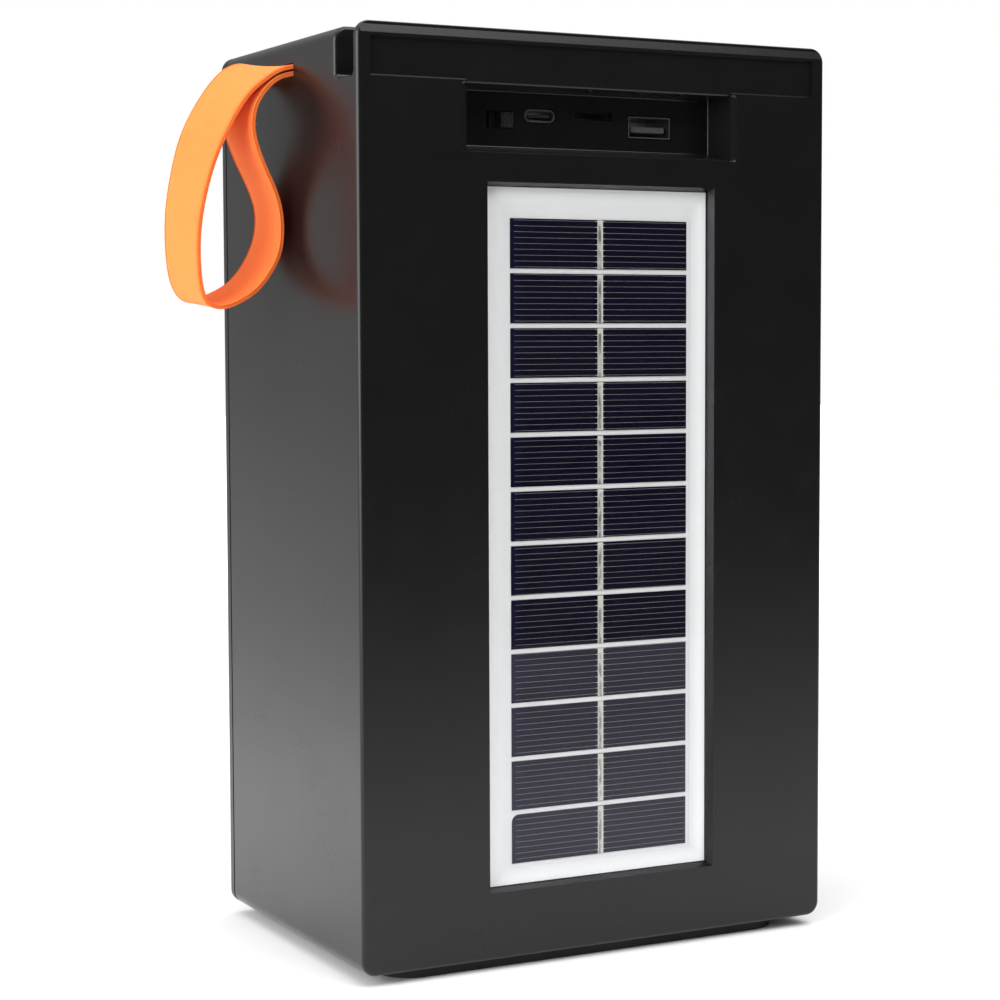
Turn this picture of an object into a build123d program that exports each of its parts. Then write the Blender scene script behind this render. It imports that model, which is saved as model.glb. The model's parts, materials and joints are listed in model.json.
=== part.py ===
from build123d import *
import math
import os

# A portable solar speaker with a carry strap. Millimetres, +Z up. The rear (solar and port) face
# looks towards -Y and the grille towards +Y. The origin is the centre of the base pad's underside.

# ---------------------------------------------------------------- driving dimensions
WIDTH = 140.0
DEPTH = 93.0
HEIGHT = 240.0
PAD_HEIGHT = 3.0
WALL = 2.5
REAR_WALL = 2.8
CORNER_R = 3.8
REAR_EDGE_R = 1.2
RIM_DEPTH = 3.3
SEAM_GAP = 0.7

LEFT = -WIDTH / 2
RIGHT = WIDTH / 2
REAR = -DEPTH / 2
FRONT = DEPTH / 2
BOTTOM = PAD_HEIGHT
TOP = PAD_HEIGHT + HEIGHT
SHELL_FRONT = FRONT - RIM_DEPTH - SEAM_GAP
INNER_TOP = TOP - WALL
INNER_BOTTOM = BOTTOM + WALL
INNER_REAR = REAR + REAR_WALL

# phone groove across the top, and the shallow band on the flange behind it
FLANGE = 2.6
GROOVE_WIDTH = 11.2
GROOVE_FLOOR = TOP - 13.2
GROOVE_WALL = 2.0
GROOVE_FOOT_R = 1.4
GROOVE_EDGE_R = 1.0
BAND_DEPTH = 1.0
BAND_RIM = 3.8
BAND_TOP_RIM = 3.4
BAND_FOOT = TOP - 13.3
BAND_SLOPE = 0.5
BEAD_DEPTH = 0.45
BEAD_HIGH = TOP - 0.95
BEAD_LOW = TOP - 2.9

# port bay in the rear face
BAY_LEFT = -39.5
BAY_RIGHT = 40.0
BAY_LOW = 211.8
BAY_HIGH = 228.8
BAY_DEPTH = 10.6
BAY_WALL = 2.2
BAY_DRAFT_LOW = 2.0
BAY_DRAFT_HIGH = 0.3
BAY_DRAFT_SIDE = 0.9
BAY_FOOT_R = 0.4
BAY_BROW_R = 0.8
BAY_LIP_WIDTH = 1.6
BAY_LIP_DEPTH = 0.7
BAY_BACK = REAR + BAY_DEPTH
PORT_PLANE = BAY_BACK + BAY_WALL

# solar panel and the window it sits in
PANEL_WIDTH = 66.3
PANEL_HEIGHT = 181.5
PANEL_X = 0.35
PANEL_LOW = 21.7
PANEL_RECESS = 1.9
PANEL_GAP = 0.2
WINDOW_DRAFT = 0.9
COVER_THICK = 0.9
COVER_POCKET = 0.5
BACKING_THICK = 1.6
TAPE_THICK = 0.9
TAPE_WIDTH = 6.0
POCKET_WALL = 2.0
CELL_ROWS = 12
CELL_WIDTH = 53.3
CELL_HEIGHT = 12.85
CELL_PITCH = 14.11
CELL_THICK = 0.25
CELL_FIELD_LOW = 27.2
CELL_X = 0.65
RIBBON_WIDTH = 1.6
RIBBON_THICK = 0.12
PANEL_FACE = REAR + PANEL_RECESS
BACKING_FACE = PANEL_FACE + COVER_THICK
BACKING_BACK = BACKING_FACE + BACKING_THICK
POCKET_FLOOR = BACKING_BACK + TAPE_THICK
LEAD_Z = 194.0

# main board, hung under the top with the sockets on its underside
BOARD_THICK = 1.6
BOARD_LOW = 224.2
BOARD_HIGH = BOARD_LOW + BOARD_THICK
BOARD_LEFT = -36.0
BOARD_RIGHT = 38.0
BOARD_REAR = PORT_PLANE + 0.3
BOARD_FRONT = 24.0
BOARD_SCREWS = ((-31.0, 20.0), (33.0, 20.0))

# sockets: centre across and centre height of each
SWITCH_X = -24.55
SWITCH_Z = 221.0
SWITCH_WINDOW = (8.1, 4.4)
SWITCH_CASE_LOW = 218.0
KNOB_WIDTH = 3.5
KNOB_HEIGHT = 3.9
USB_C_X = -12.8
USB_C_Z = 222.4
USB_C_SIZE = (8.94, 3.26)
USB_C_WALL = 0.32
CARD_X = 3.4
CARD_Z = 222.9
CARD_SLOT = (11.6, 2.0)
CARD_NOTCH_R = 7.5
CARD_NOTCH_RISE = 3.0
CARD_NOTCH_DEPTH = 1.2
CARD_MOUTH = 2.2
USB_A_X = 20.6
USB_A_Z = 220.55
USB_A_SIZE = (13.1, 5.7)
USB_A_WALL = 0.3
PORT_CLEARANCE = 0.3

# keys on the top
KEY_PITCH = 18.0
KEY_Y = 6.0
KEY_WIDTH = 12.0
KEY_DEPTH = 8.0
KEY_PROUD = 0.8
KEY_GAP = 0.2
KEY_FLANGE = 1.0
MARK_DEPTH = 0.25
KEY_BOARD_HIGH = 235.2
KEY_BOARD_THICK = 1.2
DOME_HEIGHT = 2.9
KEY_SCREWS = ((-46.0, 0.0), (-46.0, 12.0), (46.0, 0.0), (46.0, 12.0))
KEY_NAMES = ("key_mode", "key_volume_down", "key_play", "key_volume_up", "key_power")

# front: baffle tray, grille and the two drivers
BAFFLE_FACE = 37.0
BAFFLE_THICK = 3.0
BAFFLE_BACK = BAFFLE_FACE - BAFFLE_THICK
TRAY_GAP = 0.3
TRAY_WALL = 2.5
SEAL_THICK = 1.5
SEAL_WIDTH = 3.0
SEAL_CORNER_R = 1.2
GRILLE_THICK = 0.8
GRILLE_CORNER_R = 2.8
GRILLE_RIM_WALL = 1.0
GRILLE_COLUMNS = 18
GRILLE_MARGIN = 12.0
GRILLE_FACE = 45.7
HOLE_R = 2.1
HOLE_PITCH = 6.5
DRIVER_Z = (69.0, 177.0)
DRIVER_FLANGE_R = 41.0
DRIVER_HOLE_R = 33.0
DRIVER_SCREW_R = 37.5
GASKET_THICK = 0.8
BOSS_REAR = 20.0
BIG_PILOT_R = 1.3
BIG_CLEARANCE_R = 1.7
BAFFLE_SCREWS = tuple((x, z) for x in (-60.0, 60.0) for z in (13.0, 123.0, 233.0))

# battery at the bottom
CELL_R = 9.2
CELL_LENGTH = 65.0
BATTERY_Y = (-22.0, -2.6)
BATTERY_Z = INNER_BOTTOM + 2.2 + CELL_R
EAR_HEIGHT = 6.0
EAR_THICK = 2.0
CRADLE_SCREWS = ((-42.0, -30.0), (-42.0, 5.0), (42.0, -30.0), (42.0, 5.0))

# carry strap, clamped through a slot in the left wall
STRAP_REAR = -6.2
STRAP_FRONT = 15.5
STRAP_THICK = 1.5
STRAP_ROOT_LOW = 233.1
STRAP_ROOT_HIGH = 236.3
STRAP_PIVOT_X = LEFT - 2.6
STRAP_PIVOT_Z = (STRAP_ROOT_LOW + STRAP_ROOT_HIGH) / 2
STRAP_SCREW_X = LEFT + 10.5
STRAP_SCREWS = (-1.5, 10.8)
STRAP_TAIL_END = LEFT + 15.5
STRAP_SEAT_END = LEFT + 17.5
CLAMP_THICK = 2.0

# wires, which end just short of the main board
WIRE_R = 0.6
SOLDER_Z = BOARD_LOW - 0.1

# small self-tapping screws shared by the boards, the cradle and the strap clamp; their pilot
# holes leave ROOF_LEFT of wall in front of them
SCREW_R = 1.0
SCREW_LENGTH = 7.0
SCREW_HEAD_R = 2.1
SCREW_HEAD = 1.4
PILOT_R = 1.05
SCREW_CLEARANCE_R = 1.3
ROOF_LEFT = 1.2


# ---------------------------------------------------------------- shape helpers
def block(x0, x1, y0, y1, z0, z1):
    """Box between two corners."""
    return Pos((x0 + x1) / 2, (y0 + y1) / 2, (z0 + z1) / 2) * Box(x1 - x0, y1 - y0, z1 - z0)


def upright(x0, x1, y0, y1, z0, z1, radius):
    """Box with its four edges along Y rounded."""
    face = RectangleRounded(x1 - x0, z1 - z0, radius)
    return Pos((x0 + x1) / 2, y0, (z0 + z1) / 2) * Rot(-90, 0, 0) * extrude(face, y1 - y0)


def plate(x0, x1, y0, y1, z0, z1, radius):
    """Box with its four edges along Z rounded."""
    face = RectangleRounded(x1 - x0, y1 - y0, radius)
    return Pos((x0 + x1) / 2, (y0 + y1) / 2, z0) * extrude(face, z1 - z0)


def post(x, y, z0, z1, radius):
    """Round bar along Z."""
    return Pos(x, y, (z0 + z1) / 2) * Cylinder(radius, z1 - z0)


def bar(x, z, y0, y1, radius):
    """Round bar along Y."""
    return Pos(x, (y0 + y1) / 2, z) * Rot(90, 0, 0) * Cylinder(radius, y1 - y0)


def turned(points):
    """Solid of revolution about Z from its half section, given as (radius, height)."""
    outline = Polyline(*[(r, 0, z) for r, z in points], close=True)
    return revolve(make_face(outline), Axis.Z)


def along_x(x0, x1, points):
    """Prism along X from its section, given as (y, z)."""
    outline = Polyline(*[(x0, y, z) for y, z in points], close=True)
    return extrude(make_face(outline), x1 - x0, dir=(1, 0, 0))


def tube(points, radius, bend):
    """Round wire through the points, with every corner bent to one radius."""
    path = FilletPolyline(*points, radius=bend)
    section = Plane(origin=path @ 0, z_dir=path % 0) * Circle(radius)
    return sweep(section, path)


def screw(head_r, head, shank_r, length):
    """Pan-head screw standing on Z: head above zero, shank below, with a cross recess."""
    body = Cylinder(shank_r, length, align=(Align.CENTER, Align.CENTER, Align.MAX))
    body += Cylinder(head_r, head, align=(Align.CENTER, Align.CENTER, Align.MIN))
    body = fillet(body.edges().filter_by(GeomType.CIRCLE).sort_by(Axis.Z)[-1], head * 0.4)
    slot = block(-head_r * 0.6, head_r * 0.6, -0.3, 0.3, head * 0.45, head + 1)
    return body - slot - Rot(0, 0, 90) * slot


# ---------------------------------------------------------------- rear shell
def panel_box(margin, y0, y1):
    """Upright box round the panel's outline, wider by a margin on every side."""
    return block(
        PANEL_X - PANEL_WIDTH / 2 - margin,
        PANEL_X + PANEL_WIDTH / 2 + margin,
        y0,
        y1,
        PANEL_LOW - margin,
        PANEL_LOW + PANEL_HEIGHT + margin,
    )


def window_draft():
    """Sloping lead-in of the solar window, wider at the rear face."""
    width = PANEL_WIDTH + 2 * PANEL_GAP
    height = PANEL_HEIGHT + 2 * PANEL_GAP
    centre_z = PANEL_LOW + PANEL_HEIGHT / 2
    inner = Plane(origin=(PANEL_X, PANEL_FACE, centre_z), x_dir=(1, 0, 0), z_dir=(0, -1, 0))
    outer = inner.offset(PANEL_RECESS + 0.1)
    grow = 2 * WINDOW_DRAFT
    return loft([inner * Rectangle(width, height), outer * Rectangle(width + grow, height + grow)])


def bay_outline(y, share, width_more=0.0, height_more=0.0, radius=None):
    """Section of the port bay across Y, with that share of its draft taken off each side."""
    width = BAY_RIGHT - BAY_LEFT - 2 * BAY_DRAFT_SIDE * share + width_more
    height = BAY_HIGH - BAY_LOW - (BAY_DRAFT_LOW + BAY_DRAFT_HIGH) * share + height_more
    middle_z = (BAY_LOW + BAY_HIGH + (BAY_DRAFT_LOW - BAY_DRAFT_HIGH) * share) / 2
    plane = Plane(origin=((BAY_LEFT + BAY_RIGHT) / 2, y, middle_z), z_dir=(0, -1, 0), x_dir=(1, 0, 0))
    return plane * (Rectangle(width, height) if radius is None else RectangleRounded(width, height, radius))


def bay_cut():
    """Port bay: its sides close in towards the back, its lips and inner edges are rounded."""
    cut = loft([bay_outline(REAR - 1.0, -1.0 / BAY_DEPTH), bay_outline(BAY_BACK, 1.0)])
    back_edges = cut.edges().filter_by_position(Axis.Y, BAY_BACK - 0.01, BAY_BACK + 0.01)
    cut = fillet(back_edges, BAY_FOOT_R)
    overrun = 0.2
    spread = BAY_LIP_WIDTH * (1 + overrun / BAY_LIP_DEPTH)
    flare = loft(
        [
            bay_outline(REAR + BAY_LIP_DEPTH, 0.0),
            bay_outline(REAR - overrun, 0.0, 2 * spread, spread / 2, 1.0),
        ]
    )
    return cut, flare


def bead_cut():
    """Slope that leaves a low bead along the top of the flange, above the band."""
    back = REAR + BEAD_DEPTH
    slope = [(REAR, BEAD_LOW), (back, BEAD_HIGH), (back, TOP + 1), (REAR - 1, TOP + 1), (REAR - 1, BEAD_LOW)]
    return along_x(LEFT - 1, RIGHT + 1, slope)


def brow_cut():
    """The band runs down to the bay over its width and turns into it round a brow."""
    face = REAR + BAND_DEPTH
    turn = face + BAY_BROW_R
    ceiling = BAY_HIGH - BAY_DRAFT_HIGH * (turn - REAR) / BAY_DEPTH
    cut = block(BAY_LEFT, BAY_RIGHT, REAR - 1, face, BAY_HIGH - 1, BAND_FOOT + BAND_SLOPE / 2)
    corner = block(BAY_LEFT, BAY_RIGHT, face, turn, ceiling - 0.1, ceiling + BAY_BROW_R)
    brow = Pos((BAY_LEFT + BAY_RIGHT) / 2, turn, ceiling + BAY_BROW_R) * Rot(0, 90, 0)
    corner -= brow * Cylinder(BAY_BROW_R, BAY_RIGHT - BAY_LEFT)
    return cut + corner


def band_cut():
    """Shallow band on the rear of the flange, with a sloping foot."""
    return along_x(
        LEFT + BAND_RIM,
        RIGHT - BAND_RIM,
        [
            (REAR - 1, BAND_FOOT - BAND_SLOPE),
            (REAR, BAND_FOOT - BAND_SLOPE / 2),
            (REAR + BAND_DEPTH, BAND_FOOT + BAND_SLOPE / 2),
            (REAR + BAND_DEPTH, TOP - BAND_TOP_RIM - 0.3),
            (REAR, TOP - BAND_TOP_RIM),
            (REAR - 1, TOP - BAND_TOP_RIM + 0.3),
        ],
    )


def groove_cut():
    """Phone groove across the whole width, open at the top and at both ends."""
    y0 = REAR + FLANGE
    cut = block(LEFT - 1, RIGHT + 1, y0, y0 + GROOVE_WIDTH, GROOVE_FLOOR, TOP + 1)
    floor_edges = cut.edges().filter_by(Axis.X).sort_by(Axis.Z)[:2]
    return fillet(floor_edges, GROOVE_FOOT_R)


def groove_rim(body):
    """Edges where the phone groove meets the outside: both ends and both long edges."""
    y0 = REAR + FLANGE - 0.01
    y1 = y0 + GROOVE_WIDTH + 0.02
    rim = ShapeList()
    for edge in body.edges():
        box = edge.bounding_box()
        in_groove = box.min.Y > y0 and box.max.Y < y1 and box.min.Z > GROOVE_FLOOR - 0.01
        on_end = box.max.X < LEFT + CORNER_R + 0.01 or box.min.X > RIGHT - CORNER_R - 0.01
        if in_groove and (on_end or box.min.Z > TOP - 0.01):
            rim.append(edge)
    return rim


def port_windows():
    """Openings in the bay's back wall for the switch and the three sockets."""
    y0 = BAY_BACK - 0.5
    y1 = PORT_PLANE + 0.5
    width, height = SWITCH_WINDOW
    windows = block(
        SWITCH_X - width / 2, SWITCH_X + width / 2, y0, y1, SWITCH_Z - height / 2, SWITCH_Z + height / 2
    )
    half_x, half_z = (size / 2 + PORT_CLEARANCE for size in USB_C_SIZE)
    windows += upright(
        USB_C_X - half_x, USB_C_X + half_x, y0, y1, USB_C_Z - half_z, USB_C_Z + half_z, half_z - 0.05
    )
    half_x, half_z = (size / 2 for size in CARD_SLOT)
    windows += block(CARD_X - half_x, CARD_X + half_x, y0, y1, CARD_Z - half_z, CARD_Z + half_z)
    notch_end = BAY_BACK + CARD_NOTCH_DEPTH
    notch = bar(CARD_X, CARD_Z + CARD_NOTCH_RISE - CARD_NOTCH_R, y0, notch_end, CARD_NOTCH_R)
    windows += notch & block(CARD_X - 8, CARD_X + 8, y0, y1, CARD_Z, CARD_Z + CARD_NOTCH_RISE + 1)
    half_x, half_z = (size / 2 + PORT_CLEARANCE for size in USB_A_SIZE)
    windows += block(USB_A_X - half_x, USB_A_X + half_x, y0, y1, USB_A_Z - half_z, USB_A_Z + half_z)
    return windows


def key_windows():
    windows = []
    for index in range(len(KEY_NAMES)):
        x = (index - 2) * KEY_PITCH
        half_x = KEY_WIDTH / 2 + KEY_GAP
        half_y = KEY_DEPTH / 2 + KEY_GAP
        windows.append(
            plate(x - half_x, x + half_x, KEY_Y - half_y, KEY_Y + half_y, INNER_TOP - 1, TOP + 1, 1.7)
        )
    return windows


def shell_bosses():
    """Screw bosses and ledges moulded inside the shell."""
    bosses = []
    for x, z in BAFFLE_SCREWS:
        side = math.copysign(1, x)
        wall_x = side * (RIGHT - WALL / 2)
        web_front = BAFFLE_BACK - SEAL_THICK
        bosses.append(bar(x, z, BOSS_REAR, BAFFLE_BACK, 3.6))
        bosses.append(block(min(x, wall_x), max(x, wall_x), BOSS_REAR, web_front, z - 1.0, z + 1.0))
    for x, y in BOARD_SCREWS:
        bosses.append(post(x, y, BOARD_HIGH, INNER_TOP + 0.5, 3.0))
    for x, y in KEY_SCREWS:
        bosses.append(post(x, y, KEY_BOARD_HIGH, INNER_TOP + 0.5, 2.6))
    for x, y in CRADLE_SCREWS:
        bosses.append(post(x, y, INNER_BOTTOM - 0.5, INNER_BOTTOM + EAR_HEIGHT, 2.8))
    return bosses


def seal_ledge():
    """Rib round the inside of the shell that the baffle's foam seal presses on."""
    y1 = BAFFLE_BACK - SEAL_THICK
    y0 = y1 - 2.0
    inset = WALL + SEAL_WIDTH
    ring = block(LEFT + 1, RIGHT - 1, y0, y1, BOTTOM + 1, TOP - 1)
    return ring - block(LEFT + inset, RIGHT - inset, y0 - 1, y1 + 1, BOTTOM + inset, TOP - inset)


def rear_shell():
    outer = upright(LEFT, RIGHT, REAR, SHELL_FRONT, BOTTOM, TOP, CORNER_R)
    rear_edges = outer.edges().filter_by_position(Axis.Y, REAR - 0.01, REAR + 0.01)
    outer = fillet(rear_edges, REAR_EDGE_R) - groove_cut()
    outer = fillet(groove_rim(outer), GROOVE_EDGE_R)
    cavity = upright(
        LEFT + WALL, RIGHT - WALL, INNER_REAR, SHELL_FRONT + 1, INNER_BOTTOM, INNER_TOP, CORNER_R - WALL
    )
    groove_back = REAR + FLANGE + GROOVE_WIDTH + GROOVE_WALL
    cavity -= block(LEFT, RIGHT, REAR, groove_back, GROOVE_FLOOR - GROOVE_WALL, TOP)
    cavity -= block(
        BAY_LEFT - BAY_WALL, BAY_RIGHT + BAY_WALL, REAR, PORT_PLANE, BAY_LOW - BAY_WALL, GROOVE_FLOOR
    )
    cavity -= panel_box(PANEL_GAP + POCKET_WALL, REAR, POCKET_FLOOR + POCKET_WALL)
    cavity -= seal_ledge()
    # the strap's clamp seat hangs from the top, just inside the left wall
    seat_rear = STRAP_REAR - 2.5
    seat_front = STRAP_FRONT + 2.5
    cavity -= block(LEFT, STRAP_SEAT_END, seat_rear, seat_front, STRAP_ROOT_HIGH + 0.2, TOP)
    for boss in shell_bosses():
        cavity -= boss
    shell = outer - cavity

    cut, flare = bay_cut()
    shell -= cut
    shell -= flare
    shell -= bead_cut()
    shell -= band_cut()
    shell -= brow_cut()
    shell -= window_draft()
    shell -= panel_box(PANEL_GAP, PANEL_FACE - 0.01, POCKET_FLOOR)
    shell -= block(PANEL_X - 5, PANEL_X + 5, POCKET_FLOOR - 1, POCKET_FLOOR + 3, LEAD_Z - 4, LEAD_Z + 4)
    shell -= port_windows()
    for window in key_windows():
        shell -= window
    slot_rear = STRAP_REAR - 0.2
    slot_front = STRAP_FRONT + 0.2
    shell -= block(LEFT - 1, LEFT + 4, slot_rear, slot_front, STRAP_ROOT_LOW - 0.1, STRAP_ROOT_HIGH + 0.2)

    for x, z in BAFFLE_SCREWS:
        shell -= bar(x, z, BAFFLE_BACK - 11.0, BAFFLE_BACK + 1, BIG_PILOT_R)
    for x, y in BOARD_SCREWS:
        shell -= post(x, y, BOARD_HIGH - 1, BOARD_HIGH + SCREW_LENGTH, PILOT_R)
    for x, y in KEY_SCREWS:
        shell -= post(x, y, KEY_BOARD_HIGH - 1, TOP - ROOF_LEFT, PILOT_R)
    for x, y in CRADLE_SCREWS:
        shell -= post(x, y, BOTTOM + ROOF_LEFT, INNER_BOTTOM + EAR_HEIGHT + 1, PILOT_R)
    for y in STRAP_SCREWS:
        shell -= post(STRAP_SCREW_X, y, STRAP_ROOT_HIGH - 1, TOP - ROOF_LEFT, PILOT_R)
    return shell


def base_pad():
    half_x, half_y = 60.5, 42.5
    return plate(-half_x, half_x, -half_y, half_y, 0, PAD_HEIGHT, 10.0)


# ---------------------------------------------------------------- front
def front_baffle():
    """Tray that closes the front: a rim on the seam, a spigot inside the shell and the speaker plate."""
    rim_back = FRONT - RIM_DEPTH
    rim = upright(LEFT, RIGHT, rim_back, FRONT, BOTTOM, TOP, CORNER_R)
    front_edges = rim.edges().filter_by_position(Axis.Y, FRONT - 0.01, FRONT + 0.01)
    rim = fillet(front_edges, REAR_EDGE_R)
    inset = WALL + TRAY_GAP
    spigot = upright(
        LEFT + inset, RIGHT - inset, BAFFLE_BACK, FRONT - 1, BOTTOM + inset, TOP - inset, 1.2
    )
    tray = rim + spigot
    inside = inset + TRAY_WALL
    tray -= upright(
        LEFT + inside, RIGHT - inside, BAFFLE_FACE, FRONT + 1, BOTTOM + inside, TOP - inside, 3.0
    )
    for z in DRIVER_Z:
        for x, screw_z in driver_screw_places(z):
            tray += bar(x, screw_z, BAFFLE_BACK - 5.0, BAFFLE_BACK + 1, 3.0)
        tray -= bar(0, z, BAFFLE_BACK - 1, BAFFLE_FACE + 1, DRIVER_HOLE_R)
        for x, screw_z in driver_screw_places(z):
            tray -= bar(x, screw_z, BAFFLE_BACK - 4.0, BAFFLE_FACE + 1, BIG_PILOT_R)
    for x, z in BAFFLE_SCREWS:
        tray -= bar(x, z, BAFFLE_BACK - 1, BAFFLE_FACE + 1, BIG_CLEARANCE_R)
    return tray


def baffle_seal():
    y1 = BAFFLE_BACK
    outer = WALL + TRAY_GAP
    inner = WALL + SEAL_WIDTH
    y0 = y1 - SEAL_THICK
    ring = upright(LEFT + outer, RIGHT - outer, y0, y1, BOTTOM + outer, TOP - outer, SEAL_CORNER_R)
    return ring - block(LEFT + inner, RIGHT - inner, y1 - 3, y1 + 1, BOTTOM + inner, TOP - inner)


def baffle_screws():
    body = screw(2.8, 1.9, 1.25, 12.0)
    return [Pos(x, BAFFLE_FACE, z) * Rot(-90, 0, 0) * body for x, z in BAFFLE_SCREWS]


def grille_bounds():
    """The grille's half width, low and high edge."""
    inset = WALL + TRAY_GAP + TRAY_WALL + 0.2
    return RIGHT - inset, BOTTOM + inset, TOP - inset


def grille():
    """Flat steel sheet with staggered round holes."""
    half_x, z0, z1 = grille_bounds()
    sheet = upright(-half_x, half_x, GRILLE_FACE - GRILLE_THICK, GRILLE_FACE, z0, z1, GRILLE_CORNER_R)
    front_edges = sheet.edges().filter_by_position(Axis.Y, GRILLE_FACE - 0.01, GRILLE_FACE + 0.01)
    sheet = fillet(front_edges, GRILLE_THICK * 0.8)
    row_pitch = HOLE_PITCH * math.sqrt(3) / 2
    rows = 2 * int((z1 - z0 - GRILLE_MARGIN) / (2 * row_pitch)) + 1
    places = []
    for row in range(rows):
        shift = HOLE_PITCH / 2 if row % 2 else 0.0
        for column in range(GRILLE_COLUMNS - row % 2):
            x = (column - (GRILLE_COLUMNS - 1) / 2) * HOLE_PITCH + shift
            places.append((x, (row - (rows - 1) / 2) * row_pitch))
    cutter = extrude(Sketch() + [Pos(x, z) * Circle(HOLE_R) for x, z in places], GRILLE_THICK + 1)
    return sheet - Pos(0, GRILLE_FACE - GRILLE_THICK - 0.5, (z0 + z1) / 2) * Rot(-90, 0, 0) * cutter


def grille_rim():
    """Upright rim that carries the sheet on the baffle plate."""
    half_x, z0, z1 = grille_bounds()
    wall = GRILLE_RIM_WALL
    y1 = GRILLE_FACE - GRILLE_THICK
    rim = upright(-half_x, half_x, BAFFLE_FACE, y1, z0, z1, GRILLE_CORNER_R)
    hollow = upright(
        -half_x + wall, half_x - wall, BAFFLE_FACE - 1, y1 + 1, z0 + wall, z1 - wall, GRILLE_CORNER_R - wall
    )
    return rim - hollow


# ---------------------------------------------------------------- drivers
def driver_screw_places(z):
    angles = [math.radians(45 + 90 * n) for n in range(4)]
    return [(DRIVER_SCREW_R * math.cos(a), z + DRIVER_SCREW_R * math.sin(a)) for a in angles]


def driver_basket():
    """Stamped frame: flange, four-legged cone and the ring that carries the motor."""
    basket = turned(
        [
            (DRIVER_FLANGE_R, 0),
            (DRIVER_FLANGE_R, 1.2),
            (31.0, 1.2),
            (31.0, -2.0),
            (21.6, -15.0),
            (18.0, -15.0),
            (18.0, -22.0),
            (9.6, -22.0),
            (9.6, -23.2),
            (19.2, -23.2),
            (19.2, -16.2),
            (22.6, -16.2),
            (32.2, -2.6),
            (32.2, 0),
        ]
    )
    for n in range(4):
        window = block(9.0, 16.0, -9.0, 9.0, -21.6, -16.6)
        window += block(20.0, 40.0, -11.0, 11.0, -14.4, -4.0)
        basket -= Rot(0, 0, 90 * n) * window
        place = Rot(0, 0, 45 + 90 * n) * Pos(DRIVER_SCREW_R, 0, 0)
        basket -= place * Cylinder(BIG_CLEARANCE_R, 10)
    return basket


def driver_surround():
    """Half-roll rubber edge between the cone's lip and the flange."""
    base, thick = 1.2, 0.5
    inner_lip, inner_roll, outer_roll, outer_lip = 24.7, 26.4, 32.0, 35.0
    mid = (inner_roll + outer_roll) / 2
    under = (outer_roll - inner_roll) / 2
    over = under + thick
    reach = math.sqrt(over**2 - thick**2)
    section = [
        Line((inner_lip, 0, base), (inner_roll, 0, base)),
        ThreePointArc((inner_roll, 0, base), (mid, 0, base + under), (outer_roll, 0, base)),
        Line((outer_roll, 0, base), (outer_lip, 0, base)),
        Line((outer_lip, 0, base), (outer_lip, 0, base + thick)),
        Line((outer_lip, 0, base + thick), (mid + reach, 0, base + thick)),
        ThreePointArc(
            (mid + reach, 0, base + thick), (mid, 0, base + over), (mid - reach, 0, base + thick)
        ),
        Line((mid - reach, 0, base + thick), (inner_lip, 0, base + thick)),
        Line((inner_lip, 0, base + thick), (inner_lip, 0, base)),
    ]
    return revolve(make_face(section), Axis.Z)


def driver_spider():
    """Corrugated centring disc from the voice coil to the frame's shelf."""
    thick = 0.45
    folds = [(8.95 + 1.5 * n, -14.2 + (1.1 if n % 2 else 0.0)) for n in range(7)]
    top = folds + [(21.3, -14.5)]
    under = [(21.3, -14.95)] + [(r, z - thick) for r, z in reversed(folds)]
    return turned(top + under)


def driver_cone():
    """Paper cone from the coil's neck to a flat lip."""
    return turned(
        [
            (8.95, -12.9),
            (9.6, -12.9),
            (24.9, 0.6),
            (26.3, 0.6),
            (26.3, 1.15),
            (24.6, 1.15),
            (9.3, -12.2),
            (8.95, -12.2),
        ]
    )


def driver_dust_cap():
    """Shallow dome glued over the cone's neck."""
    rim_r, rise, thick = 10.8, 3.2, 0.4
    sphere_r = (rim_r**2 + rise**2) / (2 * rise)
    dome = Sphere(sphere_r) - Sphere(sphere_r - thick)
    keep = Pos(0, 0, sphere_r - rise + 5) * Cylinder(rim_r + 1, 10)
    return Pos(0, 0, -10.75 - (sphere_r - rise)) * (dome & keep)


def driver_parts():
    """One driver's pieces by name, facing +Z with the flange's back at zero."""
    coil = Pos(0, 0, -22.0) * (Cylinder(8.6, 18.6) - Cylinder(8.3, 20))
    winding = Pos(0, 0, -25.2) * (Cylinder(8.9, 8.0) - Cylinder(8.5, 9))
    return {
        "basket": driver_basket(),
        "pole_plate": Pos(0, 0, -25.2) * (Cylinder(22.0, 3.96) - Cylinder(9.2, 5)),
        "magnet": Pos(0, 0, -32.2) * (Cylinder(25.0, 9.96) - Cylinder(11.5, 11)),
        "yoke": Pos(0, 0, -39.2) * Cylinder(22.0, 3.96) + Pos(0, 0, -30.4) * Cylinder(8.0, 13.7),
        "voice_coil": coil + winding,
        "spider": driver_spider(),
        "cone": driver_cone(),
        "dust_cap": driver_dust_cap(),
        "surround": driver_surround(),
    }


def driver_gaskets():
    y0 = BAFFLE_FACE
    rings = []
    for z in DRIVER_Z:
        ring = bar(0, z, y0, y0 + GASKET_THICK, DRIVER_FLANGE_R - 0.3)
        ring -= bar(0, z, y0 - 1, y0 + 2, DRIVER_HOLE_R + 0.5)
        for x, screw_z in driver_screw_places(z):
            ring -= bar(x, screw_z, y0 - 1, y0 + 2, BIG_CLEARANCE_R)
        rings.append(ring)
    return rings


def driver_screws():
    head_seat = BAFFLE_FACE + GASKET_THICK + 1.2
    body = screw(2.4, 1.6, 1.25, 8.0)
    return [
        Pos(x, head_seat, screw_z) * Rot(-90, 0, 0) * body
        for z in DRIVER_Z
        for x, screw_z in driver_screw_places(z)
    ]


# ---------------------------------------------------------------- solar panel
def cell_low(row):
    return CELL_FIELD_LOW + row * CELL_PITCH


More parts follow.
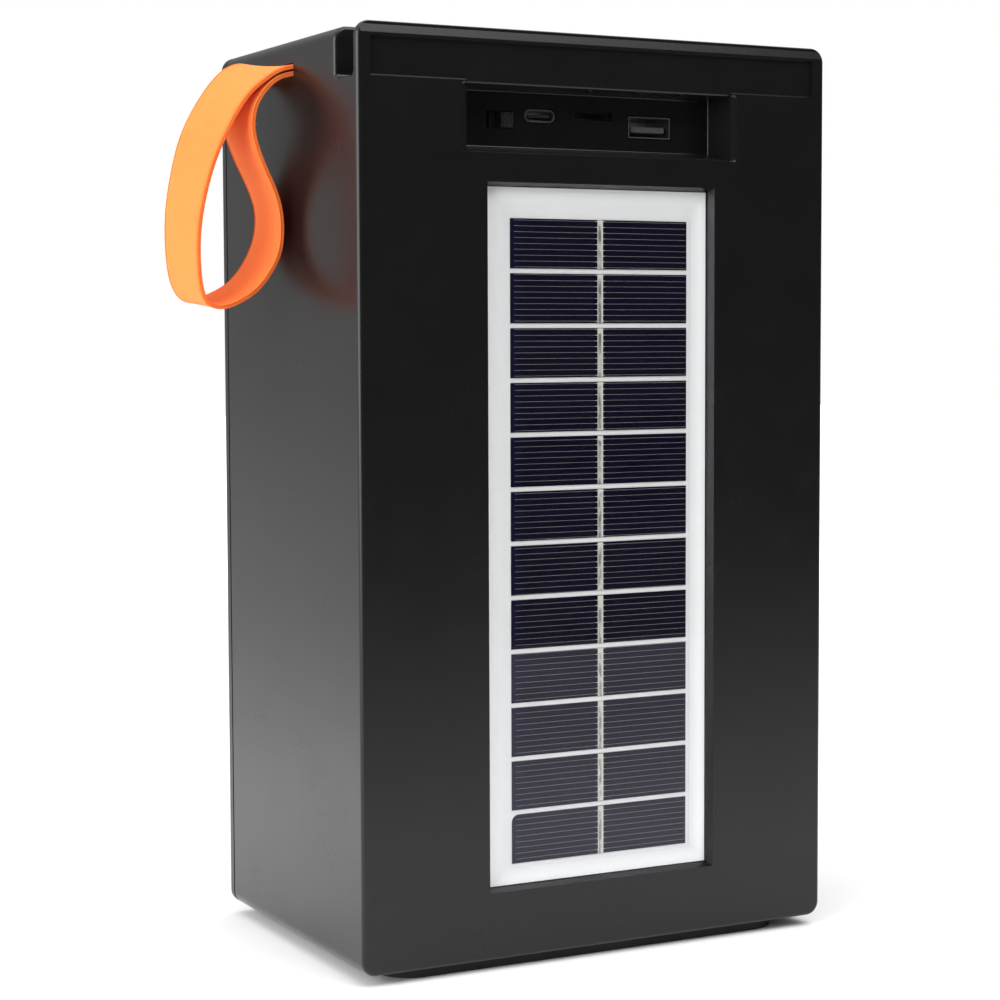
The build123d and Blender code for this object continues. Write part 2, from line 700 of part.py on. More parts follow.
def solar_cover():
    cover = panel_box(0, PANEL_FACE, BACKING_FACE - 0.02)
    cover = chamfer(cover.edges().filter_by_position(Axis.Y, PANEL_FACE - 0.01, PANEL_FACE + 0.01), 0.25)
    margin = 1.0
    pocket = block(
        CELL_X - CELL_WIDTH / 2 - margin,
        CELL_X + CELL_WIDTH / 2 + margin,
        BACKING_FACE - COVER_POCKET,
        BACKING_FACE + 1,
        CELL_FIELD_LOW - margin,
        cell_low(CELL_ROWS - 1) + CELL_HEIGHT + margin,
    )
    return cover - pocket


def solar_cells():
    """Twelve cut cells; the lowest one has the rounded corner of its wafer."""
    cells = []
    x0 = CELL_X - CELL_WIDTH / 2
    for row in range(CELL_ROWS):
        z0 = cell_low(row)
        cell = block(x0, x0 + CELL_WIDTH, BACKING_FACE - CELL_THICK, BACKING_FACE, z0, z0 + CELL_HEIGHT)
        if row == 0:
            corner = cell.edges().filter_by(Axis.Y).sort_by(Axis.X)[:2].sort_by(Axis.Z)[-1]
            cell = fillet(corner, 2.0)
        cells.append(cell)
    return cells


def solar_ribbons():
    """One tinned ribbon down the middle of each cell."""
    y1 = BACKING_FACE - CELL_THICK
    return [
        block(
            CELL_X - RIBBON_WIDTH / 2,
            CELL_X + RIBBON_WIDTH / 2,
            y1 - RIBBON_THICK,
            y1,
            cell_low(row) + 0.1,
            cell_low(row) + CELL_HEIGHT - 0.1,
        )
        for row in range(CELL_ROWS)
    ]


def solar_tape():
    """Foam tape frame between the panel and the pocket's floor."""
    tape = panel_box(0, BACKING_BACK, POCKET_FLOOR)
    return tape - panel_box(-TAPE_WIDTH, BACKING_BACK - 1, POCKET_FLOOR + 1)


# ---------------------------------------------------------------- electronics
def main_board():
    board = block(BOARD_LEFT, BOARD_RIGHT, BOARD_REAR, BOARD_FRONT, BOARD_LOW, BOARD_HIGH)
    for x, y in BOARD_SCREWS:
        board -= post(x, y, BOARD_LOW - 1, BOARD_HIGH + 1, SCREW_CLEARANCE_R)
    return board


def board_chips():
    """Amplifier, controller, charger and power coil on the underside."""
    places = ((-22, 2, 9, 7, 1.6), (-4, 4, 7, 7, 1.0), (14, 4, 5, 6, 1.5), (26, -8, 7, 7, 3.5))
    return [
        block(x - w / 2, x + w / 2, y - d / 2, y + d / 2, BOARD_LOW - h, BOARD_LOW)
        for x, y, w, d, h in places
    ]


def board_capacitors():
    """Three electrolytic cans."""
    cans = []
    for x, y in ((-26, -10), (-18, 14), (8, 15)):
        can = post(x, y, BOARD_LOW - 9.0, BOARD_LOW, 3.1)
        cans.append(can - (post(x, y, BOARD_LOW - 7.6, BOARD_LOW - 7.2, 4) - post(x, y, 0, 300, 2.8)))
    return cans


def switch_frame():
    """Slide switch case, open at the rear over the knob's travel."""
    y0 = PORT_PLANE + 0.3
    low = SWITCH_CASE_LOW
    case = block(SWITCH_X - 6.5, SWITCH_X + 6.3, y0, y0 + 4.8, low, BOARD_LOW)
    case -= block(SWITCH_X - 6.0, SWITCH_X + 5.8, y0 + 0.3, y0 + 4.3, low + 0.3, BOARD_LOW - 0.4)
    half_x = SWITCH_WINDOW[0] / 2
    return case - block(SWITCH_X - half_x, SWITCH_X + half_x, y0 - 1, y0 + 1, low + 0.7, BOARD_LOW - 0.9)


def switch_knob():
    """Ridged knob on its slider plate, at the right-hand end of its travel."""
    x1 = SWITCH_X + SWITCH_WINDOW[0] / 2 - 0.45
    x0 = x1 - KNOB_WIDTH
    half = KNOB_HEIGHT / 2
    face = BAY_BACK - 0.5
    knob = block(x0, x1, face, PORT_PLANE + 2.0, SWITCH_Z - half, SWITCH_Z + half)
    plate_y = PORT_PLANE + 0.8
    knob += block(x0 - 1.9, x1 + 1.9, plate_y, plate_y + 2.4, SWITCH_Z - 2.4, SWITCH_Z + 2.4)
    point = Rot(90, 0, 0) * Cone(0.38, 0.16, 0.3, align=(Align.CENTER, Align.CENTER, Align.MIN))
    for column in range(3):
        for row in range(4):
            x = x0 + KNOB_WIDTH / 2 + (column - 1) * 1.1
            z = SWITCH_Z + (row - 1.5) * 0.95
            knob += Pos(x, face, z) * point
    return knob


def usb_c_shell():
    y0 = BAY_BACK + 0.2
    y1 = y0 + 7.4
    half_x, half_z = (size / 2 for size in USB_C_SIZE)
    shell = upright(
        USB_C_X - half_x, USB_C_X + half_x, y0, y1, USB_C_Z - half_z, USB_C_Z + half_z, half_z - 0.01
    )
    half_x -= USB_C_WALL
    half_z -= USB_C_WALL
    inner_end = y1 - 1.2
    low = USB_C_Z - half_z
    high = USB_C_Z + half_z
    shell -= upright(USB_C_X - half_x, USB_C_X + half_x, y0 - 1, inner_end, low, high, half_z - 0.01)
    for x in (USB_C_X - 3.2, USB_C_X + 2.4):
        shell += block(x, x + 0.8, y1 - 2, y1 - 0.8, USB_C_Z + 1.5, BOARD_LOW)
    return shell


def usb_c_tongue():
    y1 = BAY_BACK + 6.4
    return plate(USB_C_X - 3.35, USB_C_X + 3.35, y1 - 5.4, y1, USB_C_Z - 0.35, USB_C_Z + 0.35, 0.4)


def card_socket():
    y0 = PORT_PLANE + 0.4
    low, high = CARD_Z - CARD_MOUTH / 2, CARD_Z + CARD_MOUTH / 2
    socket = block(CARD_X - 7.0, CARD_X + 7.0, y0, y0 + 15.0, low - 0.35, BOARD_LOW)
    return socket - block(CARD_X - 5.9, CARD_X + 5.9, y0 - 1, y0 + 13.0, low, high)


def usb_a_shell():
    y0 = BAY_BACK + 0.1
    y1 = y0 + 14.0
    half_x, half_z = (size / 2 for size in USB_A_SIZE)
    wall = USB_A_WALL
    shell = block(USB_A_X - half_x, USB_A_X + half_x, y0, y1, USB_A_Z - half_z, USB_A_Z + half_z)
    shell -= block(
        USB_A_X - half_x + wall,
        USB_A_X + half_x - wall,
        y0 - 1,
        y1 - 1.5,
        USB_A_Z - half_z + wall,
        USB_A_Z + half_z - wall,
    )
    for x in (USB_A_X - half_x, USB_A_X + half_x - 0.5):
        for y in (y1 - 10, y1 - 3):
            shell += block(x, x + 0.5, y, y + 1.5, USB_A_Z + 2.5, BOARD_LOW)
    return shell


def usb_a_tongue():
    y1 = BAY_BACK + 12.5
    low = USB_A_Z - 1.3
    tongue = block(USB_A_X - 5.2, USB_A_X + 5.2, BAY_BACK + 1.2, y1, low, low + 1.6)
    return fillet(tongue.edges().filter_by(Axis.X).sort_by(Axis.Y)[:2], 0.3)


def key_board():
    board = block(-50.0, 50.0, -3.5, 15.5, KEY_BOARD_HIGH - KEY_BOARD_THICK, KEY_BOARD_HIGH)
    for x, y in KEY_SCREWS:
        board -= post(x, y, KEY_BOARD_HIGH - 3, KEY_BOARD_HIGH + 1, SCREW_CLEARANCE_R)
    return board


def key_mat():
    """Rubber mat with one hollow dome under each key."""
    base = KEY_BOARD_HIGH
    mat = block(-42.5, 42.5, 0.0, 12.0, base, base + 0.8)
    for index in range(len(KEY_NAMES)):
        place = Pos((index - 2) * KEY_PITCH, KEY_Y, base)
        mat += place * Cone(4.4, 2.6, DOME_HEIGHT, align=(Align.CENTER, Align.CENTER, Align.MIN))
        mat -= place * Cone(3.8, 2.0, DOME_HEIGHT - 0.8, align=(Align.CENTER, Align.CENTER, Align.MIN))
    return mat


def key_mark(index):
    """Plain outline engraved in a cap: ring, minus, triangle, plus or bar and arc."""
    if index == 0:
        mark = Circle(1.9) - Circle(1.3)
    elif index == 1:
        mark = Rectangle(3.6, 0.7)
    elif index == 2:
        mark = make_face(Polyline((-1.4, -1.8), (-1.4, 1.8), (1.8, 0), close=True))
    elif index == 3:
        mark = Rectangle(3.6, 0.7) + Rectangle(0.7, 3.6)
    else:
        arc = Circle(1.9) - Circle(1.3) - Pos(0, 1.5) * Rectangle(1.7, 1.6)
        mark = arc + Pos(0, 1.3) * Rectangle(0.6, 2.0)
    return extrude(mark, MARK_DEPTH + 0.5)


def key_cap(index):
    """Cap with a retaining flange under the top wall and a stem on the mat's dome."""
    x = (index - 2) * KEY_PITCH
    top = TOP + KEY_PROUD
    flange_high = INNER_TOP - 0.2
    half_x, half_y = KEY_WIDTH / 2, KEY_DEPTH / 2
    cap = plate(-half_x, half_x, -half_y, half_y, flange_high - 0.5, top, 1.5)
    cap = fillet(cap.edges().filter_by_position(Axis.Z, top - 0.01, top + 0.01), 0.5)
    flange_low = flange_high - KEY_FLANGE
    cap += plate(-half_x - 1, half_x + 1, -half_y - 1, half_y + 1, flange_low, flange_high, 2.0)
    cap += post(0, 0, KEY_BOARD_HIGH + DOME_HEIGHT, flange_high, 1.8)
    cap -= Pos(0, 0, top - MARK_DEPTH) * key_mark(index)
    return Pos(x, KEY_Y, 0) * cap


# ---------------------------------------------------------------- battery
def battery_cells():
    cells = []
    for y in BATTERY_Y:
        cell = Pos(0, y, BATTERY_Z) * Rot(0, 90, 0) * Cylinder(CELL_R, CELL_LENGTH)
        cells.append(fillet(cell.edges().filter_by(GeomType.CIRCLE), 0.8))
    return cells


def battery_cradle():
    """Moulded tray with a round bed for each cell and four screw ears."""
    x1 = CELL_LENGTH / 2 + 3.0
    y0 = BATTERY_Y[0] - CELL_R - 1.8
    y1 = BATTERY_Y[1] + CELL_R + 1.8
    z0 = INNER_BOTTOM + 0.2
    tray = block(-x1, x1, y0, y1, z0, BATTERY_Z + 1.0)
    for y in BATTERY_Y:
        tray -= Pos(0, y, BATTERY_Z) * Rot(0, 90, 0) * Cylinder(CELL_R + 0.15, CELL_LENGTH + 2.0)
        tray -= block(-CELL_LENGTH / 2 - 1, CELL_LENGTH / 2 + 1, y - 8.5, y + 8.5, BATTERY_Z, BATTERY_Z + 2)
    for x, y in CRADLE_SCREWS:
        ear_z = INNER_BOTTOM + EAR_HEIGHT
        inner = math.copysign(x1 - 0.5, x)
        ear = block(min(inner, x), max(inner, x), y - 3.2, y + 3.2, ear_z, ear_z + EAR_THICK)
        ear += post(x, y, ear_z, ear_z + EAR_THICK, 3.2)
        tray += ear - post(x, y, ear_z - 1, ear_z + EAR_THICK + 1, SCREW_CLEARANCE_R)
    # room for the nickel strips at both ends
    slot = block(-CELL_LENGTH / 2 - 1, CELL_LENGTH / 2 + 1, y0 + 4, y1 - 4, BATTERY_Z - 4, BATTERY_Z + 2)
    slot -= block(-CELL_LENGTH / 2, CELL_LENGTH / 2, y0, y1, 0, BATTERY_Z + 3)
    return tray - slot


def battery_tabs():
    """Nickel strip across both cells at each end."""
    x = CELL_LENGTH / 2
    y0, y1 = BATTERY_Y[0] - 3.5, BATTERY_Y[1] + 3.5
    return [
        block(min(a, b), max(a, b), y0, y1, BATTERY_Z - 3.5, BATTERY_Z + 3.5)
        for a, b in ((x + 0.02, x + 0.22), (-x - 0.22, -x - 0.02))
    ]


# ---------------------------------------------------------------- strap
def strap_profile():
    """Outer face of the loop as (x, z), from the root's top, round the bottom and back to the root."""
    far = LEFT
    low = BOTTOM
    return [
        (far - 4.5, low + 231.6),
        (far - 9.6, low + 228.8),
        (far - 14.6, low + 222.9),
        (far - 19.0, low + 215.6),
        (far - 22.6, low + 207.6),
        (far - 25.6, low + 197.8),
        (far - 27.3, low + 187.0),
        (far - 26.7, low + 176.4),
        (far - 24.3, low + 170.6),
        (far - 20.0, low + 168.6),
        (far - 12.6, low + 171.3),
        (far - 6.4, low + 178.0),
        (far - 3.0, low + 187.5),
        (far - 4.2, low + 198.6),
        (far - 8.5, low + 208.8),
        (far - 10.5, low + 217.2),
        (far - 8.4, low + 224.2),
        (far - 4.5, low + 228.6),
    ]


def strap_loop():
    """Flat webbing loop: two stacked layers at the root that part into one open band."""
    outside = Spline(*[(x, 0, z) for x, z in strap_profile()])
    count = 72
    inside = []
    for n in range(count + 1):
        here = outside @ (n / count)
        heading = outside % (n / count)
        # the inside is at right angles to the direction of travel, towards the loop's middle
        inside.append((here.X + heading.Z * STRAP_THICK, 0, here.Z - heading.X * STRAP_THICK))
    turn = count // 2
    bands = []
    for first, last in ((0, turn), (turn, count)):
        outer_points = [outside @ (n / count) for n in range(first, last + 1)]
        outer_edge = Spline(*[(p.X, 0, p.Z) for p in outer_points])
        inner_edge = Spline(*inside[first : last + 1])
        ends = [Line(outer_edge @ 0, inner_edge @ 0), Line(outer_edge @ 1, inner_edge @ 1)]
        face = make_face([outer_edge, inner_edge, *ends])
        bands.append(Pos(0, STRAP_REAR, 0) * extrude(face, STRAP_FRONT - STRAP_REAR, dir=(0, 1, 0)))
    return bands[0] + bands[1]


def strap_root():
    """The strap's two tails, stacked: clamped inside and rounded where the loop begins."""
    tails = block(
        STRAP_PIVOT_X, STRAP_TAIL_END, STRAP_REAR, STRAP_FRONT, STRAP_ROOT_LOW, STRAP_ROOT_HIGH
    )
    half = (STRAP_ROOT_HIGH - STRAP_ROOT_LOW) / 2
    tails += bar(STRAP_PIVOT_X, STRAP_PIVOT_Z, STRAP_REAR, STRAP_FRONT, half)
    for y in STRAP_SCREWS:
        tails -= post(STRAP_SCREW_X, y, STRAP_ROOT_LOW - 1, STRAP_ROOT_HIGH + 1, SCREW_CLEARANCE_R)
    return tails


def strap_clamp():
    """Plate screwed up under the two tails."""
    low = STRAP_ROOT_LOW - CLAMP_THICK
    y0 = STRAP_REAR - 1.5
    y1 = STRAP_FRONT + 1.5
    clamp = plate(LEFT + 4.5, STRAP_SEAT_END - 1.0, y0, y1, low, STRAP_ROOT_LOW, 1.0)
    for y in STRAP_SCREWS:
        clamp -= post(STRAP_SCREW_X, y, low - 1, STRAP_ROOT_LOW + 1, SCREW_CLEARANCE_R)
    return clamp


# ---------------------------------------------------------------- fasteners and wires
def small_screws():
    """Every small self-tapping screw, head down under the top and head up on the floor."""
    body = screw(SCREW_HEAD_R, SCREW_HEAD, SCREW_R, SCREW_LENGTH)
    up = Rot(180, 0, 0) * body
    screws = [Pos(x, y, BOARD_LOW) * up for x, y in BOARD_SCREWS]
    screws += [Pos(x, y, KEY_BOARD_HIGH - KEY_BOARD_THICK) * up for x, y in KEY_SCREWS]
    screws += [Pos(STRAP_SCREW_X, y, STRAP_ROOT_LOW - CLAMP_THICK) * up for y in STRAP_SCREWS]
    screws += [Pos(x, y, INNER_BOTTOM + EAR_HEIGHT + EAR_THICK) * body for x, y in CRADLE_SCREWS]
    return screws


def solar_leads():
    y0 = BACKING_BACK + 0.1
    return [
        tube([(x, y0, LEAD_Z), (x, -14.0, LEAD_Z), (x, -14.0, SOLDER_Z)], WIRE_R, 5.0)
        for x in (PANEL_X - 1.5, PANEL_X + 1.5)
    ]


def battery_leads():
    return [
        tube(
            [
                (CELL_LENGTH / 2 + 0.9, y, BATTERY_Z + 1.8),
                (CELL_LENGTH / 2 + 0.9, y, 34.0),
                (52.0, y, 34.0),
                (52.0, y, 212.0),
                (32.0, y, 212.0),
                (32.0, y, SOLDER_Z),
            ],
            WIRE_R,
            5.0,
        )
        for y in (-14.0, -10.0)
    ]


def driver_leads():
    """A pair of wires from each frame up to the main board's underside."""
    leads = []
    lower, upper = DRIVER_Z
    for back in (0.0, 2.4):
        front = 24.0 - back
        rear = 12.0 - back
        short = [(-18.2, front, upper + 18.2), (-28, rear, upper + 28), (-28, rear, SOLDER_Z)]
        long = [
            (-18.2, front, lower + 18.2),
            (-28, rear, lower + 28),
            (-46, rear, lower + 41),
            (-46, rear, 211),
            (-32, rear, 217),
            (-32, rear, SOLDER_Z),
        ]
        leads += [tube(short, WIRE_R, 3.0), tube(long, WIRE_R, 3.0)]
    return leads


# ---------------------------------------------------------------- assembly
def build():
    nodes = {
        "rear_shell": rear_shell(),
        "base_pad": base_pad(),
        "front_baffle": front_baffle(),
        "baffle_seal": baffle_seal(),
        "baffle_screws": baffle_screws(),
        "grille": grille(),
        "grille_rim": grille_rim(),
        "driver_gaskets": driver_gaskets(),
        "driver_screws": driver_screws(),
        "solar_cover": solar_cover(),
        "solar_cells": solar_cells(),
        "solar_ribbons": solar_ribbons(),
        "solar_backing": panel_box(0, BACKING_FACE, BACKING_BACK),
        "solar_tape": solar_tape(),
        "main_board": main_board(),
        "board_chips": board_chips(),
        "board_capacitors": board_capacitors(),
        "switch_frame": switch_frame(),
        "switch_knob": switch_knob(),
        "usb_c_shell": usb_c_shell(),
        "usb_c_tongue": usb_c_tongue(),
        "card_socket": card_socket(),
        "usb_a_shell": usb_a_shell(),
        "usb_a_tongue": usb_a_tongue(),
        "key_board": key_board(),
        "key_mat": key_mat(),
        "battery_cells": battery_cells(),
        "battery_cradle": battery_cradle(),
        "battery_tabs": battery_tabs(),
        "strap_loop": strap_loop(),
        "strap_root": strap_root(),
        "strap_clamp": strap_clamp(),
        "small_screws": small_screws(),
        "solar_leads": solar_leads(),
        "battery_leads": battery_leads(),
        "driver_leads": driver_leads(),
    }
    for index, name in enumerate(KEY_NAMES):
        nodes[name] = key_cap(index)
    for level, z in zip(("lower", "upper"), DRIVER_Z):
        for name, shape in driver_parts().items():
            nodes[f"{level}_{name}"] = Pos(0, BAFFLE_FACE + GASKET_THICK, z) * Rot(-90, 0, 0) * shape
    return nodes


def write(nodes):
    os.makedirs("parts", exist_ok=True)
    for name, shape in nodes.items():
        shapes = shape if isinstance(shape, list) else [shape]
        solids = [solid for item in shapes for solid in item.solids()]
        export_step(Compound(children=solids), f"parts/{name}.step")


write(build())
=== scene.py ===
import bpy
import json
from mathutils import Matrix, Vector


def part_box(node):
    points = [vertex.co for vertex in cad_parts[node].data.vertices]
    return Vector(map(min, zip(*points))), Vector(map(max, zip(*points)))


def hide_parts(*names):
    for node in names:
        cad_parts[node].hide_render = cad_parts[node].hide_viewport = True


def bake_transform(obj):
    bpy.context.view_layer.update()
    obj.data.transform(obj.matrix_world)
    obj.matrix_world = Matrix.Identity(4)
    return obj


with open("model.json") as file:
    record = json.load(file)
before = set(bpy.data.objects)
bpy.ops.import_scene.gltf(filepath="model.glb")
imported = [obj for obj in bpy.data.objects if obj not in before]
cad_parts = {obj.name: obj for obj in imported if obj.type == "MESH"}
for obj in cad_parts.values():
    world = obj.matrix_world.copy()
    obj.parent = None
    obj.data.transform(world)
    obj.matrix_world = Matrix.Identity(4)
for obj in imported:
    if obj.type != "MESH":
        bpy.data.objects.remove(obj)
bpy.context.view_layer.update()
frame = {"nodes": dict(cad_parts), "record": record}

import json
import math

import bpy
from mathutils import Matrix, Vector

# A portable solar speaker seen from its rear left corner. Metres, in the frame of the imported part:
# +Z up, the solar panel and the port bay look towards -Y, the carry strap hangs at -X.

MM = 0.001
TURN = 2 * math.pi
RECORD = frame["record"]

# solved from the straight edges in the photo: place in metres, lens and sensor in millimetres
CAMERA_PLACE = Vector((-0.3095, -0.5784, 0.1650))
CAMERA_YAW = math.radians(27.67)
CAMERA_PITCH = math.radians(4.0)
CAMERA_ROLL = math.radians(-0.21)
CAMERA_LENS = 84.33
CAMERA_SENSOR = 36.0

# radiance of each side of the studio
BACKDROP = 0.34
LEFT_WALL = 1.2
CEILING = 0.6
ROOM = 0.06

# each lamp's name, place and size in metres, and power in watts; all look at the same point
LAMPS = (
    ("key_left", (-1.25, -0.35, 0.35), (1.2, 1.0), 18.0),
    ("ceiling", (0.0, -0.1, 1.5), (1.8, 1.8), 15.0),
    ("front_high", (0.35, -1.0, 1.25), (1.0, 0.7), 11.0),
)
LAMPS_AIM = (0, 0, 0.12)

# the table: half its side in metres, how pale it is under the object, and its painted shade far off,
# in front, and past the line where it is painted almost black so that it seems to end in reflections
TABLE_REACH = 4.0
TABLE_PALE = (0.90, 0.93)
TABLE_FAR_SHADE = 0.62
TABLE_FRONT_SHADE = 0.50
TABLE_BEYOND_SHADE = 0.03
TABLE_END_Y = -0.6
# its own light: a glow far behind, and a pool at the left that lights the side wall
TABLE_GLOW = 0.18
TABLE_POOL = 0.5
POOL_PLACE = (-0.24, 0.12, 0.0)
# where each change starts and ends: y in front, distance from the pool, else from the object
FRONT_FADE = (-0.45, -0.12)
POOL_FADE = (0.04, 0.28)
FAR_FADE = (0.3, 0.9)
GLOW_FADE = (0.35, 1.3)
WHITE_FADE = (0.5, 1.2)


# ---------------------------------------------------------------- camera, stage and light
def aimed(location, target):
    """Matrix of something at location that looks along its own -Z at target."""
    heading = (Vector(target) - Vector(location)).to_track_quat("-Z", "Y")
    return Matrix.Translation(location) @ heading.to_matrix().to_4x4()


def add_camera():
    sine, cosine = math.sin(CAMERA_YAW), math.cos(CAMERA_YAW)
    flat = math.cos(CAMERA_PITCH)
    forward = Vector((sine * flat, cosine * flat, -math.sin(CAMERA_PITCH)))
    level = Vector((cosine, -sine, 0))
    upright = level.cross(forward)
    right = level * math.cos(CAMERA_ROLL) + upright * math.sin(CAMERA_ROLL)
    up = upright * math.cos(CAMERA_ROLL) - level * math.sin(CAMERA_ROLL)
    camera = bpy.data.objects.new("camera", bpy.data.cameras.new("camera"))
    camera.data.sensor_width = CAMERA_SENSOR
    camera.data.lens = CAMERA_LENS
    camera.data.clip_start = 0.01
    camera.data.clip_end = 30.0
    axes = Matrix((right, up, -forward)).transposed().to_4x4()
    camera.matrix_world = Matrix.Translation(CAMERA_PLACE) @ axes
    bpy.context.scene.collection.objects.link(camera)
    bpy.context.scene.camera = camera


def add_lights():
    for name, place, size, power in LAMPS:
        lamp = bpy.data.lights.new(name, "AREA")
        lamp.shape = "RECTANGLE"
        lamp.size, lamp.size_y = size
        lamp.energy = power
        light = bpy.data.objects.new(name, lamp)
        light.matrix_world = aimed(place, LAMPS_AIM)
        bpy.context.scene.collection.objects.link(light)


def add_floor():
    """White table top with painted shade: in the rear face it is dimmer in front, and it is painted
    almost black past TABLE_END_Y so that it seems to end there.
    """
    r = TABLE_REACH
    mesh = bpy.data.meshes.new("floor")
    mesh.from_pydata([(-r, -r, 0), (r, -r, 0), (r, r, 0), (-r, r, 0)], [], [(0, 1, 2, 3)])
    floor = bpy.data.objects.new("floor", mesh)
    bpy.context.scene.collection.objects.link(floor)
    look = Look("table_white")
    y = look.axis(look.place, "Y")
    away = look.distance((0, 0, 0))
    front = look.span(y, *FRONT_FADE, 1.0, 0.0, smooth=True)
    beyond = look.math("LESS_THAN", y, TABLE_END_Y)
    paper_and_shade = look.blend(look.noise(3.0, detail=2.0), *(grey(value) for value in TABLE_PALE))
    # painted shade: darker far off and in front, and almost black past TABLE_END_Y
    paper_and_shade = look.blend(look.span(away, *FAR_FADE, smooth=True), paper_and_shade, grey(TABLE_FAR_SHADE))
    paper_and_shade = look.blend(front, paper_and_shade, grey(TABLE_FRONT_SHADE))
    look.set("Base Color", look.blend(beyond, paper_and_shade, grey(TABLE_BEYOND_SHADE)))
    look.set("Roughness", 0.9)
    look.set("Specular IOR Level", 0.0)
    look.set("Emission Color", (1, 1, 1, 1))
    glow = look.span(away, *GLOW_FADE, 0.0, TABLE_GLOW, smooth=True)
    behind = look.math("MULTIPLY", glow, look.math("SUBTRACT", 1.0, front))
    # looked at directly it is white everywhere, as its glow covers the painted shade; the pool only
    # shows in reflections
    whiten = look.math("MAXIMUM", front, look.span(away, *WHITE_FADE, smooth=True))
    pool = look.span(look.distance(POOL_PLACE), *POOL_FADE, TABLE_POOL, 0.0, smooth=True)
    seen = look.node("ShaderNodeLightPath").outputs["Is Camera Ray"]
    extra = look.span(seen, 0.0, 1.0, pool, whiten)
    look.set("Emission Strength", look.math("ADD", behind, extra))
    mesh.materials.append(look.material)


def add_surroundings():
    """Soft studio: white behind and to the left, a bright ceiling, and a dim room in front."""
    world = bpy.data.worlds.new("studio")
    bpy.context.scene.world = world
    world.use_nodes = True
    tree = world.node_tree
    tree.nodes.clear()

    def node(kind, *inputs, **settings):
        made = tree.nodes.new(kind)
        for key, value in settings.items():
            setattr(made, key, value)
        for socket, value in zip(made.inputs, inputs):
            if isinstance(value, bpy.types.NodeSocket):
                tree.links.new(value, socket)
            else:
                socket.default_value = value
        return made

    def share(value, low, high, gain):
        """Rises smoothly from nothing at low to gain at high."""
        return node(
            "ShaderNodeMapRange", value, low, high, 0.0, gain, interpolation_type="SMOOTHSTEP"
        ).outputs[0]

    def total(*values):
        result = values[0]
        for value in values[1:]:
            result = node("ShaderNodeMath", result, value, operation="ADD").outputs[0]
        return result

    direction = node("ShaderNodeSeparateXYZ", node("ShaderNodeTexCoord").outputs["Generated"])
    x, y, z = (direction.outputs[axis] for axis in "XYZ")
    leftwards = node("ShaderNodeMath", x, -1.0, operation="MULTIPLY").outputs[0]
    room = total(
        share(y, -0.25, 0.75, BACKDROP),
        share(leftwards, 0.3, 0.95, LEFT_WALL),
        share(z, 0.3, 0.85, CEILING),
        ROOM,
    )
    lit = node("ShaderNodeBackground", (1, 1, 1, 1), room).outputs[0]
    # looked at directly it is plain white
    white = node("ShaderNodeBackground", (1, 1, 1, 1), 1.0).outputs[0]
    seen = node("ShaderNodeLightPath").outputs["Is Camera Ray"]
    mixed = node("ShaderNodeMixShader", seen, lit, white)
    output = node("ShaderNodeOutputWorld")
    tree.links.new(mixed.outputs[0], output.inputs["Surface"])


